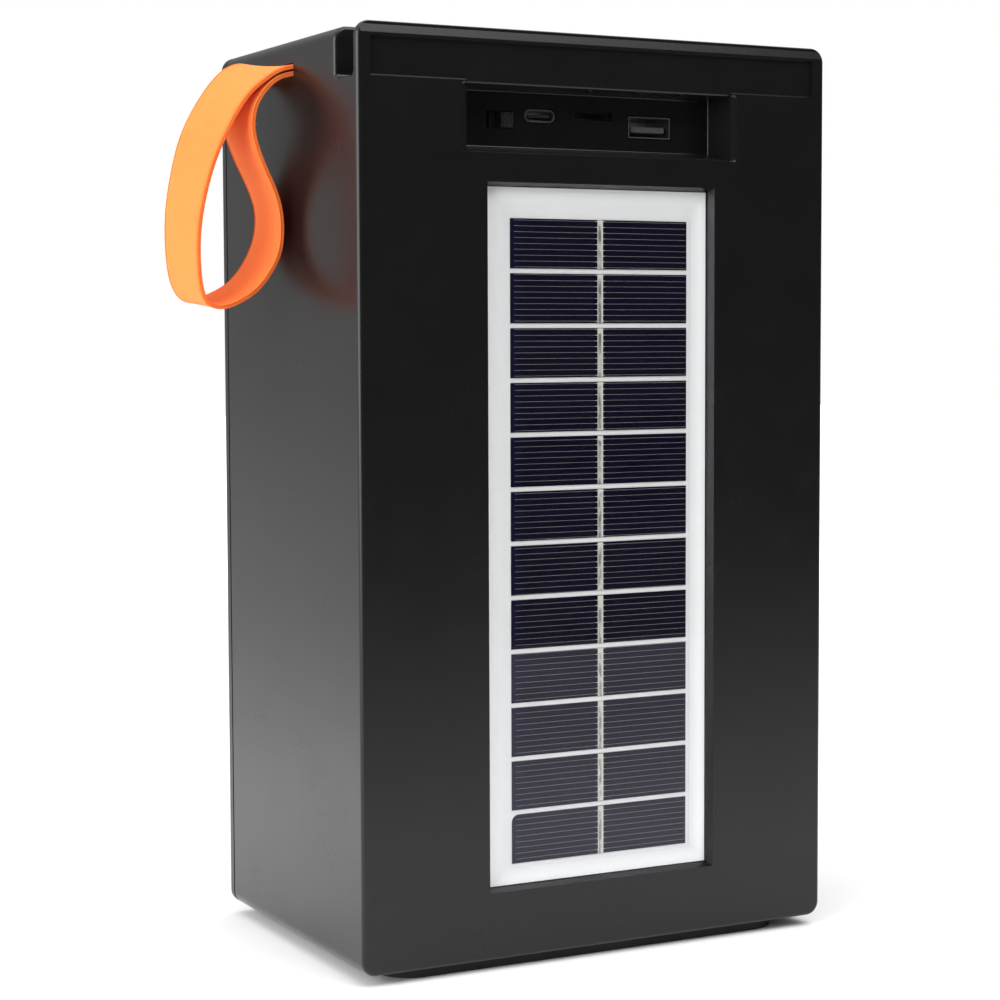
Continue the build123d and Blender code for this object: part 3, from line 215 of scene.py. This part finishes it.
# ---------------------------------------------------------------- node materials
class Look:
    """One node material, built from object coordinates so that it needs no unwrapping."""

    def __init__(self, slot):
        self.slot = slot
        self.material = bpy.data.materials.new(slot)
        self.material.use_nodes = True
        self.tree = self.material.node_tree
        self.shader = self.tree.nodes["Principled BSDF"]
        self.output = self.tree.nodes["Material Output"]
        self.place = self.node("ShaderNodeTexCoord").outputs["Object"]

    def node(self, kind, **settings):
        made = self.tree.nodes.new(kind)
        for key, value in settings.items():
            setattr(made, key, value)
        return made

    def feed(self, socket, value):
        if isinstance(value, bpy.types.NodeSocket):
            self.tree.links.new(value, socket)
        else:
            socket.default_value = value

    def set(self, name, value):
        self.feed(self.shader.inputs[name], value)

    def math(self, operation, a, b=0.0, c=0.0):
        made = self.node("ShaderNodeMath", operation=operation)
        for socket, value in zip(made.inputs, (a, b, c)):
            self.feed(socket, value)
        return made.outputs[0]

    def noise(self, scale, detail=3.0, at=None, roughness=0.5):
        made = self.node("ShaderNodeTexNoise")
        self.feed(made.inputs["Vector"], at or self.place)
        self.feed(made.inputs["Scale"], scale)
        self.feed(made.inputs["Detail"], detail)
        self.feed(made.inputs["Roughness"], roughness)
        return made.outputs["Fac"]

    def spots(self, scale, at=None):
        """Distance from the nearest of a scatter of points, and each point's own random value."""
        made = self.node("ShaderNodeTexVoronoi")
        self.feed(made.inputs["Vector"], at or self.place)
        self.feed(made.inputs["Scale"], scale)
        return made.outputs["Distance"], self.axis(made.outputs["Color"], "X")

    def wave(self, value, pitch):
        """A sine of value, one turn for each pitch."""
        return self.math("SINE", self.math("MULTIPLY", value, TURN / pitch))

    def random(self, value):
        made = self.node("ShaderNodeTexWhiteNoise", noise_dimensions="1D")
        self.feed(made.inputs["W"], value)
        return made.outputs["Value"]

    def axis(self, vector, name):
        made = self.node("ShaderNodeSeparateXYZ")
        self.feed(made.inputs[0], vector)
        return made.outputs[name]

    def distance(self, point):
        """How far the surface is from a point."""
        made = self.node("ShaderNodeVectorMath", operation="DISTANCE")
        self.feed(made.inputs[0], self.place)
        self.feed(made.inputs[1], point)
        return made.outputs["Value"]

    def stretched(self, x, y, z):
        made = self.node("ShaderNodeVectorMath", operation="MULTIPLY")
        self.feed(made.inputs[0], self.place)
        self.feed(made.inputs[1], (x, y, z))
        return made.outputs[0]

    def span(self, value, low, high, start=0.0, end=1.0, smooth=False):
        """Maps low..high to start..end, and holds those beyond."""
        kind = "SMOOTHSTEP" if smooth else "LINEAR"
        made = self.node("ShaderNodeMapRange", interpolation_type=kind)
        for socket, item in zip(made.inputs, (value, low, high, start, end)):
            self.feed(socket, item)
        return made.outputs[0]

    def varied(self, noise, low, high):
        """The middle of a noise's range, spread from low to high."""
        return self.span(noise, 0.3, 0.7, low, high)

    def blend(self, factor, a, b):
        made = self.node("ShaderNodeMix", data_type="RGBA")
        # a Mix node has one pair of sockets for each data type: 6, 7 and output 2 are the colours
        for index, value in ((0, factor), (6, a), (7, b)):
            self.feed(made.inputs[index], value)
        return made.outputs[2]

    def relief(self, height, depth):
        """Bump whose height of 1 stands depth metres proud."""
        made = self.node("ShaderNodeBump")
        self.feed(made.inputs["Distance"], depth)
        self.feed(made.inputs["Height"], height)
        self.set("Normal", made.outputs[0])


def grey(value, tint=(1.0, 1.0, 1.0)):
    return tuple(value * t for t in tint) + (1.0,)


def scaled(colour, gain, lift=0.0):
    return tuple(c * gain + lift for c in colour[:3]) + (1.0,)


def moulded(name, colour, roughness, grain=2200.0, depth=0.004, dust=0.0, coat=0.0, gloss=0.5):
    """Moulded plastic: a fine spark texture, slow tone changes and a few specks of dust."""
    tone_change = 0.14
    # possible specks along a metre, their radius as a share of the gap, and the share that shows
    specks = 170.0
    radius = 0.03
    dusty = 0.07
    dust_colour = (0.35, 0.35, 0.34, 1.0)
    look = Look(name)
    cloud = look.noise(22.0, detail=4.0)
    tone = look.blend(cloud, scaled(colour, 1 - tone_change), scaled(colour, 1 + tone_change))
    if dust:
        distance, own = look.spots(specks)
        within = look.span(distance, 0.4 * radius, radius, 1.0, 0.0)
        chosen = look.span(own, 1 - dusty, 1.01 - dusty)
        speck = look.math("MULTIPLY", within, chosen)
        tone = look.blend(look.math("MULTIPLY", speck, dust), tone, dust_colour)
    look.set("Base Color", tone)
    wear = look.noise(65.0, detail=5.0, roughness=0.65)
    look.set("Roughness", look.varied(wear, roughness - 0.025, roughness + 0.035))
    look.relief(look.noise(grain, detail=2.0), depth * MM)
    look.set("Coat Weight", coat)
    look.set("Specular IOR Level", gloss)
    return look


def rubber(name, colour, roughness=0.62, grain=900.0, depth=0.02):
    """Soft plastic, rubber or foam: dull, with a faint pale bloom."""
    look = Look(name)
    cloud = look.noise(40.0, detail=4.0)
    bloom = scaled(colour, 1.25, lift=0.004)
    look.set("Base Color", look.blend(cloud, scaled(colour, 0.8), bloom))
    look.set("Roughness", look.varied(look.noise(150.0), roughness - 0.06, roughness + 0.08))
    look.relief(look.noise(grain, detail=3.0), depth * MM)
    look.set("Specular IOR Level", 0.35)
    return look


def metal(name, colour, roughness, brushed=(1.0, 1.0, 12.0)):
    """Bare or plated metal with drawn lines along one axis and a faint stain."""
    stain = 0.24
    line_depth = 0.002 * MM
    look = Look(name)
    lines = look.noise(900.0, detail=4.0, at=look.stretched(*brushed))
    cloud = look.noise(120.0, detail=4.0)
    look.set("Base Color", look.blend(cloud, scaled(colour, 1 - stain), colour))
    look.set("Metallic", 1.0)
    look.set("Roughness", look.span(lines, 0.25, 0.75, roughness - 0.06, roughness + 0.1))
    look.relief(lines, line_depth)
    return look


# ---------------------------------------------------------------- solar panel
CELL_LEFT = -26.0 * MM
CELL_LOW = 27.2 * MM
CELL_PITCH = 14.11 * MM
FINGER_PITCH = 1.5 * MM
FINGER_WIDTH = 0.068 * MM
FINGER_MARGIN = 1.1 * MM
# how far a finger strays, as a share of the pitch
FINGER_WANDER = 0.06
# distances from the ribbon's middle over which a finger narrows from double to its own width
FINGER_ROOT = (1.1 * MM, 1.7 * MM)
BLUE_EDGE = 5 * MM
CELL_SEED = 3.7
# distances from the ribbon's left edge over which the tin starts and ends; the rest is paste
TIN_STARTS = (0.12 * MM, 0.20 * MM)
TIN_ENDS = (1.04 * MM, 1.12 * MM)
# share of the cell's pitch over which it ends below the cell's top, blurred by its mottling
TIN_HEAD = (0.86, 0.92)
TIN_HEAD_BLUR = 0.16
COVER_IOR = 1.46
# how far in from the rim the painted light on the white backing reaches
RIM_PAINTED_LIGHT = 5.5 * MM


def cell_look():
    """Dark blue silicon with fine printed fingers; their phase differs from cell to cell."""
    look = Look("cell_silicon")
    x = look.axis(look.place, "X")
    z = look.axis(look.place, "Z")
    row = look.math("FLOOR", look.math("DIVIDE", look.math("SUBTRACT", z, CELL_LOW), CELL_PITCH))
    chance = look.random(look.math("ADD", row, CELL_SEED))
    phase = look.math("ADD", look.math("DIVIDE", z, FINGER_PITCH), chance)
    ripple = look.noise(60.0, detail=1.0)
    wander = look.math("MULTIPLY", look.math("SUBTRACT", ripple, 0.5), FINGER_WANDER)
    across = look.math("FRACT", look.math("ADD", phase, wander))
    off_line = look.math("ABSOLUTE", look.math("SUBTRACT", across, 0.5))
    ribbon = sum(corner[0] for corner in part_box("solar_ribbons")) / 2
    beside = look.math("ABSOLUTE", look.math("SUBTRACT", x, ribbon))
    root = look.span(beside, *FINGER_ROOT, 1.0, 0.0)
    half = FINGER_WIDTH / FINGER_PITCH / 2
    line = look.math("LESS_THAN", off_line, look.math("MULTIPLY_ADD", root, half, half))
    start = look.span(x, CELL_LEFT + FINGER_MARGIN * 0.95, CELL_LEFT + FINGER_MARGIN)
    printed = look.math("MULTIPLY", line, start)

    edge_blue = look.span(x, CELL_LEFT, CELL_LEFT + BLUE_EDGE, 1.0, 0.0, smooth=True)
    grain = look.noise(90.0, detail=5.0)
    wafer = look.blend(chance, (0.0018, 0.0010, 0.0088, 1), (0.0014, 0.0010, 0.0100, 1))
    wafer = look.blend(look.math("MULTIPLY", edge_blue, 0.5), wafer, (0.004, 0.006, 0.030, 1))
    wafer = look.blend(look.math("MULTIPLY", grain, 0.35), wafer, (0.004, 0.003, 0.013, 1))
    silver = look.blend(look.noise(1500.0), (0.23, 0.21, 0.20, 1), (0.38, 0.35, 0.33, 1))
    silver = look.blend(root, silver, (0.62, 0.60, 0.55, 1))
    look.set("Base Color", look.blend(printed, wafer, silver))
    look.set("Roughness", look.span(printed, 0.0, 1.0, 0.42, 0.6))
    look.set("Specular IOR Level", 0.1)
    look.relief(grain, 0.004 * MM)
    return look


def ribbon_look():
    """Tinned ribbon between two pale lines of paste; the tin is dull and mottled by the solder."""
    look = Look("tinned_ribbon")
    x = look.axis(look.place, "X")
    z = look.axis(look.place, "Z")
    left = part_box("solar_ribbons")[0][0]
    blotch = look.noise(700.0, detail=4.0, at=look.stretched(1.0, 1.0, 0.45))
    tin = look.blend(look.span(blotch, 0.42, 0.62), (0.26, 0.26, 0.265, 1), (0.62, 0.62, 0.61, 1))
    paste = look.blend(look.noise(900.0), (0.56, 0.54, 0.45, 1), (0.70, 0.68, 0.60, 1))
    starts = look.span(x, left + TIN_STARTS[0], left + TIN_STARTS[1])
    ends = look.span(x, left + TIN_ENDS[0], left + TIN_ENDS[1], 1.0, 0.0)
    rise = look.math("FRACT", look.math("DIVIDE", look.math("SUBTRACT", z, CELL_LOW), CELL_PITCH))
    blurred = look.math("ADD", rise, look.math("MULTIPLY", blotch, TIN_HEAD_BLUR))
    below_head = look.span(blurred, *TIN_HEAD, 1.0, 0.0)
    bare = look.math("MULTIPLY", look.math("MULTIPLY", starts, ends), below_head)
    look.set("Base Color", look.blend(bare, paste, tin))
    look.set("Metallic", look.span(bare, 0.0, 1.0, 0.05, 0.5))
    look.set("Roughness", look.varied(blotch, 0.3, 0.5))
    look.relief(blotch, 0.04 * MM)
    return look


def cover_look():
    """Clear cover: shows what lies under it, with a sharp, faintly blue surface reflection."""
    look = Look("panel_cover")
    clear = look.node("ShaderNodeBsdfTransparent")
    look.feed(clear.inputs["Color"], (0.97, 0.972, 0.972, 1))
    gloss = look.node("ShaderNodeBsdfGlossy")
    look.feed(gloss.inputs["Roughness"], look.varied(look.noise(14.0, detail=4.0), 0.02, 0.05))
    look.feed(gloss.inputs["Color"], (0.86, 0.86, 1.0, 1))
    front = look.math("SUBTRACT", 1.0, look.node("ShaderNodeNewGeometry").outputs["Backfacing"])
    fresnel = look.node("ShaderNodeFresnel")
    look.feed(fresnel.inputs["IOR"], COVER_IOR)
    mixed = look.node("ShaderNodeMixShader")
    look.feed(mixed.inputs[0], look.math("MULTIPLY", fresnel.outputs[0], front))
    look.feed(mixed.inputs[1], clear.outputs[0])
    look.feed(mixed.inputs[2], gloss.outputs[0])
    look.feed(look.output.inputs["Surface"], mixed.outputs[0])
    look.tree.nodes.remove(look.shader)
    return look


def backing_look():
    """White laminate under the cells, with painted light that makes it a little brighter near the
    rim of the clear cover.
    """
    look = Look("panel_white")
    low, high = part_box("solar_backing")
    x = look.axis(look.place, "X")
    z = look.axis(look.place, "Z")
    insets = [
        look.math("SUBTRACT", x, low[0]),
        look.math("SUBTRACT", high[0], x),
        look.math("SUBTRACT", z, low[2]),
        look.math("SUBTRACT", high[2], z),
    ]
    rim = insets[0]
    for inset in insets[1:]:
        rim = look.math("MINIMUM", rim, inset)
    # painted light: the white is brighter near the rim of the clear cover
    near = look.span(rim, 0.0, RIM_PAINTED_LIGHT, 1.0, 0.0, smooth=True)
    cloud = look.noise(30.0, detail=3.0)
    plain = look.blend(cloud, (0.745, 0.75, 0.747, 1), (0.795, 0.795, 0.793, 1))
    look.set("Base Color", look.blend(near, plain, (0.975, 0.98, 0.98, 1)))
    look.set("Roughness", look.varied(look.noise(200.0), 0.38, 0.46))
    look.relief(look.noise(500.0), 0.003 * MM)
    return look


# ---------------------------------------------------------------- electronics
CAN_SLEEVE_LOW = 216.4 * MM


def board_look():
    """Green solder mask over copper tracks, with tinned pads."""
    look = Look("board_green")
    flat = look.stretched(1.0, 1.0, 0.0)
    wander = look.noise(140.0, detail=1.0, at=flat)
    bands = look.math("FRACT", look.math("MULTIPLY", wander, 26.0))
    track = look.span(look.math("ABSOLUTE", look.math("SUBTRACT", bands, 0.5)), 0.2, 0.26)
    mask = look.blend(track, (0.006, 0.075, 0.030, 1), (0.012, 0.140, 0.055, 1))
    distance, own = look.spots(260.0, at=flat)
    within = look.span(distance, 0.16, 0.19, 1.0, 0.0)
    pad = look.math("MULTIPLY", within, look.span(own, 0.6, 0.62))
    look.set("Base Color", look.blend(pad, mask, (0.62, 0.62, 0.60, 1)))
    look.set("Metallic", pad)
    look.set("Roughness", look.span(pad, 0.0, 1.0, 0.28, 0.38))
    look.relief(look.math("ADD", track, pad), 0.03 * MM)
    return look


def can_look():
    """Aluminium cans that hang from the board, with plain film round them above the crimp."""
    look = metal("can_aluminium", (0.72, 0.72, 0.73, 1), 0.25)
    z = look.axis(look.place, "Z")
    sleeve = look.span(z, CAN_SLEEVE_LOW, CAN_SLEEVE_LOW + 0.1 * MM)
    aluminium = look.shader.inputs["Base Color"].links[0].from_socket
    film = look.blend(look.noise(800.0), (0.008, 0.012, 0.045, 1), (0.012, 0.018, 0.060, 1))
    look.set("Base Color", look.blend(sleeve, aluminium, film))
    look.set("Metallic", look.span(sleeve, 0.0, 1.0, 1.0, 0.0))
    return look


# ---------------------------------------------------------------- speaker materials
COIL_WIRE_PITCH = 0.3 * MM
SPIDER_WEAVE = 0.7 * MM


def winding_look():
    """Enamelled copper wire, wound turn against turn, with painted light on each turn's crown and
    painted shade between turns.
    """
    look = Look("coil_copper")
    turn = look.wave(look.axis(look.place, "Y"), COIL_WIRE_PITCH)
    # a shaded and a lit copy of the copper: painted shade in the grooves between turns and painted
    # light on each turn's crown
    copper = look.blend(look.span(turn, -1.0, 1.0), (0.35, 0.10, 0.035, 1), (0.78, 0.33, 0.14, 1))
    look.set("Base Color", copper)
    look.set("Metallic", 0.85)
    look.set("Roughness", look.varied(look.noise(500.0), 0.28, 0.42))
    look.relief(turn, 0.05 * MM)
    return look


def spider_look():
    """Plain woven cloth in the plane across Y, with painted shade in the hollows of the weave."""
    dark = (0.30, 0.17, 0.06, 1)
    look = Look("spider_cloth")
    warp = look.wave(look.axis(look.place, "X"), SPIDER_WEAVE)
    weft = look.wave(look.axis(look.place, "Z"), SPIDER_WEAVE)
    weave = look.math("MULTIPLY", warp, weft)
    # lit and shaded copies of the cloth: painted shade in the weave's hollows; the cloud below adds
    # random darker patches
    tone = look.blend(look.span(weave, -1.0, 1.0), dark, (0.55, 0.36, 0.15, 1))
    look.set("Base Color", look.blend(look.math("MULTIPLY", look.noise(60.0), 0.4), tone, dark))
    look.set("Roughness", 0.85)
    look.relief(weave, 0.08 * MM)
    return look


def paper_look():
    """Pressed pulp: short pale fibres in a dark felt."""
    look = Look("cone_paper")
    fibre = look.noise(1400.0, detail=5.0, at=look.stretched(1.0, 1.0, 0.3), roughness=0.7)
    felt, pale = (0.010, 0.010, 0.011, 1), (0.045, 0.045, 0.047, 1)
    look.set("Base Color", look.blend(look.span(fibre, 0.35, 0.75), felt, pale))
    look.set("Roughness", look.varied(fibre, 0.72, 0.9))
    look.relief(fibre, 0.06 * MM)
    return look


# the weave's pitch across and along the strap, and where the painted shade along the near edge fades
# out
STRAP_RIB = 0.62 * MM
STRAP_PICK = 0.48 * MM
EDGE_SHADE_FADE = (1.0 * MM, 1.4 * MM)


def webbing_look():
    """Orange woven strap: fine ribs crossed by close weft turns, with lit and shaded copies of the
    orange painted on the raised threads and in the hollows, and painted shade along its near edge.
    """
    look = Look("strap_webbing")
    place = look.node("ShaderNodeUVMap", uv_map="weave").outputs[0]
    along = look.axis(place, "X")
    across = look.axis(place, "Y")
    weave = look.math("MULTIPLY", look.wave(across, STRAP_RIB), look.wave(along, STRAP_PICK))
    fuzz = look.noise(2600.0, detail=3.0)
    cloud = look.noise(45.0, detail=4.0)
    # shaded and lit copies of one orange: painted shade in the weave's hollows, painted light on the
    # raised threads
    shaded_hollows = look.blend(cloud, (0.90, 0.170, 0.028, 1), (0.97, 0.198, 0.036, 1))
    lit_threads = look.blend(cloud, (0.95, 0.208, 0.043, 1), (1.0, 0.242, 0.054, 1))
    raised = look.span(weave, -1.0, 1.0, 0.0, 0.7)
    level = look.math("ADD", raised, look.math("MULTIPLY", fuzz, 0.3))
    tone = look.blend(level, shaded_hollows, lit_threads)
    # painted shade along the near edge of the webbing
    edge_shade = look.span(across, *EDGE_SHADE_FADE, 0.7, 0.0)
    look.set("Base Color", look.blend(edge_shade, tone, (0.92, 0.150, 0.026, 1)))
    look.set("Roughness", look.varied(fuzz, 0.72, 0.9))
    look.set("Specular IOR Level", 0.25)
    # light that goes in comes out again nearby, so the shaded side glows
    look.set("Subsurface Weight", 0.5)
    look.set("Subsurface Radius", (1.0, 0.25, 0.09))
    look.set("Subsurface Scale", 2.0 * MM)
    look.set("Sheen Weight", 0.1)
    look.set("Sheen Roughness", 0.5)
    look.set("Sheen Tint", (1.0, 0.55, 0.3, 1))
    look.relief(level, 0.05 * MM)
    return look


def looks():
    """Every material slot of the record, with its finish."""
    warm = (1.03, 1.0, 0.97)
    made = (
        moulded("shell_plastic", grey(0.0055, warm), 0.25, dust=0.5, gloss=0.36),
        moulded("front_plastic", grey(0.0065, warm), 0.32, dust=0.3, gloss=0.4),
        rubber("pad_rubber", grey(0.012), 0.7),
        moulded("grille_paint", grey(0.012), 0.42, grain=3000.0, depth=0.02),
        cover_look(),
        cell_look(),
        ribbon_look(),
        backing_look(),
        rubber("foam", grey(0.02), 0.9, grain=2400.0, depth=0.12),
        board_look(),
        moulded("chip_black", grey(0.012), 0.5, grain=4000.0, depth=0.01),
        can_look(),
        metal("socket_steel", (0.50, 0.49, 0.47, 1), 0.3),
        # the tongues are dark grey plastic, set lighter than the other black plastics: partly a
        # painted highlight
        moulded("tongue_plastic", grey(0.10), 0.4, grain=1500.0, depth=0.01),
        moulded("socket_plastic", grey(0.03), 0.45),
        moulded("knob_plastic", grey(0.018), 0.4),
        moulded("key_plastic", grey(0.016), 0.38, grain=1800.0, depth=0.006, dust=0.3),
        rubber("mat_rubber", grey(0.30), 0.55),
        moulded("cell_wrap", (0.010, 0.060, 0.32, 1), 0.22, grain=700.0, depth=0.02, coat=0.3),
        moulded("cradle_plastic", grey(0.03), 0.5, grain=1500.0, depth=0.01),
        metal("nickel", (0.66, 0.64, 0.58, 1), 0.24, brushed=(1.0, 12.0, 1.0)),
        webbing_look(),
        metal("screw_zinc", (0.62, 0.63, 0.62, 1), 0.28, brushed=(6.0, 6.0, 1.0)),
        moulded("wire_red", (0.42, 0.012, 0.010, 1), 0.3, grain=1200.0, depth=0.01),
        moulded("wire_black", grey(0.012), 0.3, grain=1200.0, depth=0.01),
        moulded("basket_steel", grey(0.014), 0.36, grain=2600.0, depth=0.02),
        metal("motor_steel", (0.50, 0.49, 0.46, 1), 0.34, brushed=(1.0, 8.0, 1.0)),
        moulded("ferrite", grey(0.030), 0.55, grain=1600.0, depth=0.05),
        winding_look(),
        spider_look(),
        paper_look(),
        rubber("surround_rubber", grey(0.010), 0.5, grain=600.0, depth=0.01),
    )
    return {look.slot: look.material for look in made}


# ---------------------------------------------------------------- carry strap
STRAP_NEAR_Y = -6.2 * MM
STRAP_FAR_Y = 15.5 * MM
STRAP_THICK = 1.2 * MM
STRAP_RINGS = 420
STRAP_LANES = 14
ROOT = Vector((-70.0, 0.0, 234.7)) * MM
# half an edge of the webbing, as (distance across, depth) in millimetres
ROUNDED_EDGE = ((0.36, 0.0), (0.16, 0.05), (0.04, 0.18), (0.0, 0.38))
# outer face of the webbing along its rear and front edge, in millimetres from the root: (x, z)
REAR_EDGE = (
    (13, 1.5), (6, 1.5), (1, 1.45), (-3.6, 0.3), (-7.9, -2.4), (-12.2, -6.0), (-16.0, -11.1),
    (-19.2, -17.0), (-21.9, -22.6), (-24.1, -28.8), (-25.7, -34.9), (-26.8, -41.2), (-27.2, -47.5),
    (-27.0, -53.2), (-26.3, -58.0), (-24.7, -61.2), (-21.6, -62.5), (-17.3, -61.9), (-10.9, -58.4),
    (-6.4, -53.3), (-3.6, -47.8), (-2.8, -41.8), (-3.3, -35.8), (-5.1, -30.4), (-7.6, -25.1),
    (-9.7, -19.7), (-10.6, -14.9), (-9.7, -9.8), (-7.0, -5.7), (-3.6, -2.8),
    (1, -1.5), (6, -1.5), (13, -1.5),
)
FRONT_EDGE = (
    (13, 1.5), (6, 1.5), (1, 1.5), (-3.4, 3.1), (-7.4, 3.4), (-11.6, 1.4), (-15.6, -2.7),
    (-19.3, -8.0), (-22.5, -13.8), (-24.9, -20.1), (-26.7, -27.7), (-27.9, -34.8), (-28.3, -41.4),
    (-28.1, -48.2), (-27.2, -54.4), (-25.0, -58.9), (-21.6, -60.6), (-16.6, -59.5), (-10.0, -56.0),
    (-5.2, -50.3), (-2.2, -43.9), (-1.4, -38.0), (-2.0, -33.6), (-4.0, -28.4), (-7.0, -22.5),
    (-9.4, -16.8), (-10.0, -12.2), (-8.9, -7.9), (-6.4, -4.7), (-3.4, -2.6),
    (1, -1.5), (6, -1.5), (13, -1.5),
)


def smooth_line(points, steps=12):
    """Catmull-Rom curve through the points, with its small kinks smoothed out."""
    points = [Vector(p) for p in points]
    padded = [points[0] * 2 - points[1], *points, points[-1] * 2 - points[-2]]
    line = []
    for a, b, c, d in zip(padded, padded[1:], padded[2:], padded[3:]):
        for n in range(steps):
            t = n / steps
            square = (a * 2 - b * 5 + c * 4 - d) * t**2
            cube = (b * 3 - a - c * 3 + d) * t**3
            line.append((b * 2 + (c - a) * t + square + cube) / 2)
    line.append(points[-1])
    for _ in range(steps):
        eased = [(p + q * 2 + r) / 4 for p, q, r in zip(line, line[1:], line[2:])]
        line = [line[0], *eased, line[-1]]
    return line


def evenly(line, count):
    """That many points at equal distances along a line, and the line's length."""
    lengths = [0.0]
    for p, q in zip(line, line[1:]):
        lengths.append(lengths[-1] + (q - p).length)
    result = []
    place = 0
    for n in range(count):
        wanted = lengths[-1] * n / (count - 1)
        while place < len(line) - 2 and lengths[place + 1] < wanted:
            place += 1
        share = (wanted - lengths[place]) / (lengths[place + 1] - lengths[place])
        result.append(line[place].lerp(line[place + 1], min(1.0, share)))
    return result, lengths[-1]


def strap_section(width, thick):
    """Closed outline of the webbing as (distance across, depth), with soft selvedges."""
    near = [(x * MM, d * MM) for x, d in ROUNDED_EDGE]
    far = [(width - x, d) for x, d in reversed(near)]
    middle = [width * n / STRAP_LANES for n in range(1, STRAP_LANES)]
    outer = near[::-1] + [(x, 0.0) for x in middle] + far
    inner_far = [(x, thick - d) for x, d in reversed(far)]
    inner_near = [(x, thick - d) for x, d in reversed(near)]
    return outer + inner_far + [(x, thick) for x in reversed(middle)] + inner_near


def strap_mesh():
    """The webbing, swept between its two edges; its map is in metres along and round it."""
    count = STRAP_RINGS
    rear, length = evenly(smooth_line(REAR_EDGE), count)
    front, _ = evenly(smooth_line(FRONT_EDGE), count)
    width = STRAP_FAR_Y - STRAP_NEAR_Y
    section = strap_section(width, STRAP_THICK)
    vertices, places = [], []
    for n in range(count):
        near = ROOT + Vector((rear[n].x * MM, STRAP_NEAR_Y, rear[n].y * MM))
        far = ROOT + Vector((front[n].x * MM, STRAP_FAR_Y, front[n].y * MM))
        before, after = max(n - 1, 0), min(n + 1, count - 1)
        step_rear = rear[after] - rear[before]
        step_front = front[after] - front[before]
        for across, depth in section:
            share = across / width
            step = step_rear.lerp(step_front, share).normalized()
            heading = Vector((step.x, 0, step.y))
            inward = heading.cross(far - near).normalized()
            vertices.append(near.lerp(far, share) + inward * depth)
            places.append((length * MM * n / (count - 1), across + depth))
    ring = len(section)
    faces = []
    for n in range(count - 1):
        for m in range(ring):
            a, b = n * ring + m, n * ring + (m + 1) % ring
            faces.append((a, b, b + ring, a + ring))
    faces.append(tuple(reversed(range(ring))))
    faces.append(tuple(range((count - 1) * ring, count * ring)))
    mesh = bpy.data.meshes.new("strap")
    mesh.from_pydata(vertices, [], faces)
    mesh.update()
    layer = mesh.uv_layers.new(name="weave")
    for loop in mesh.loops:
        layer.data[loop.index].uv = places[loop.vertex_index]
    mesh.polygons.foreach_set("use_smooth", [True] * len(mesh.polygons))
    return mesh


def add_strap(materials):
    mesh = strap_mesh()
    strap = bpy.data.objects.new("strap_webbing", mesh)
    bpy.context.scene.collection.objects.link(strap)
    mesh.materials.append(materials["strap_webbing"])
    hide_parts("strap_loop", "strap_root")
    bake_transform(strap)


# ---------------------------------------------------------------- the object
def dress_nodes(materials):
    """Gives each CAD node the finish that the record names for it."""
    for part in RECORD["subparts"]:
        node = frame["nodes"][part["node"]]
        node.data.materials.clear()
        node.data.materials.append(materials[part["material_slot"]])


materials = looks()
dress_nodes(materials)
add_strap(materials)
add_camera()
add_floor()
add_surroundings()
add_lights()
bpy.context.scene.view_settings.view_transform = "Standard"
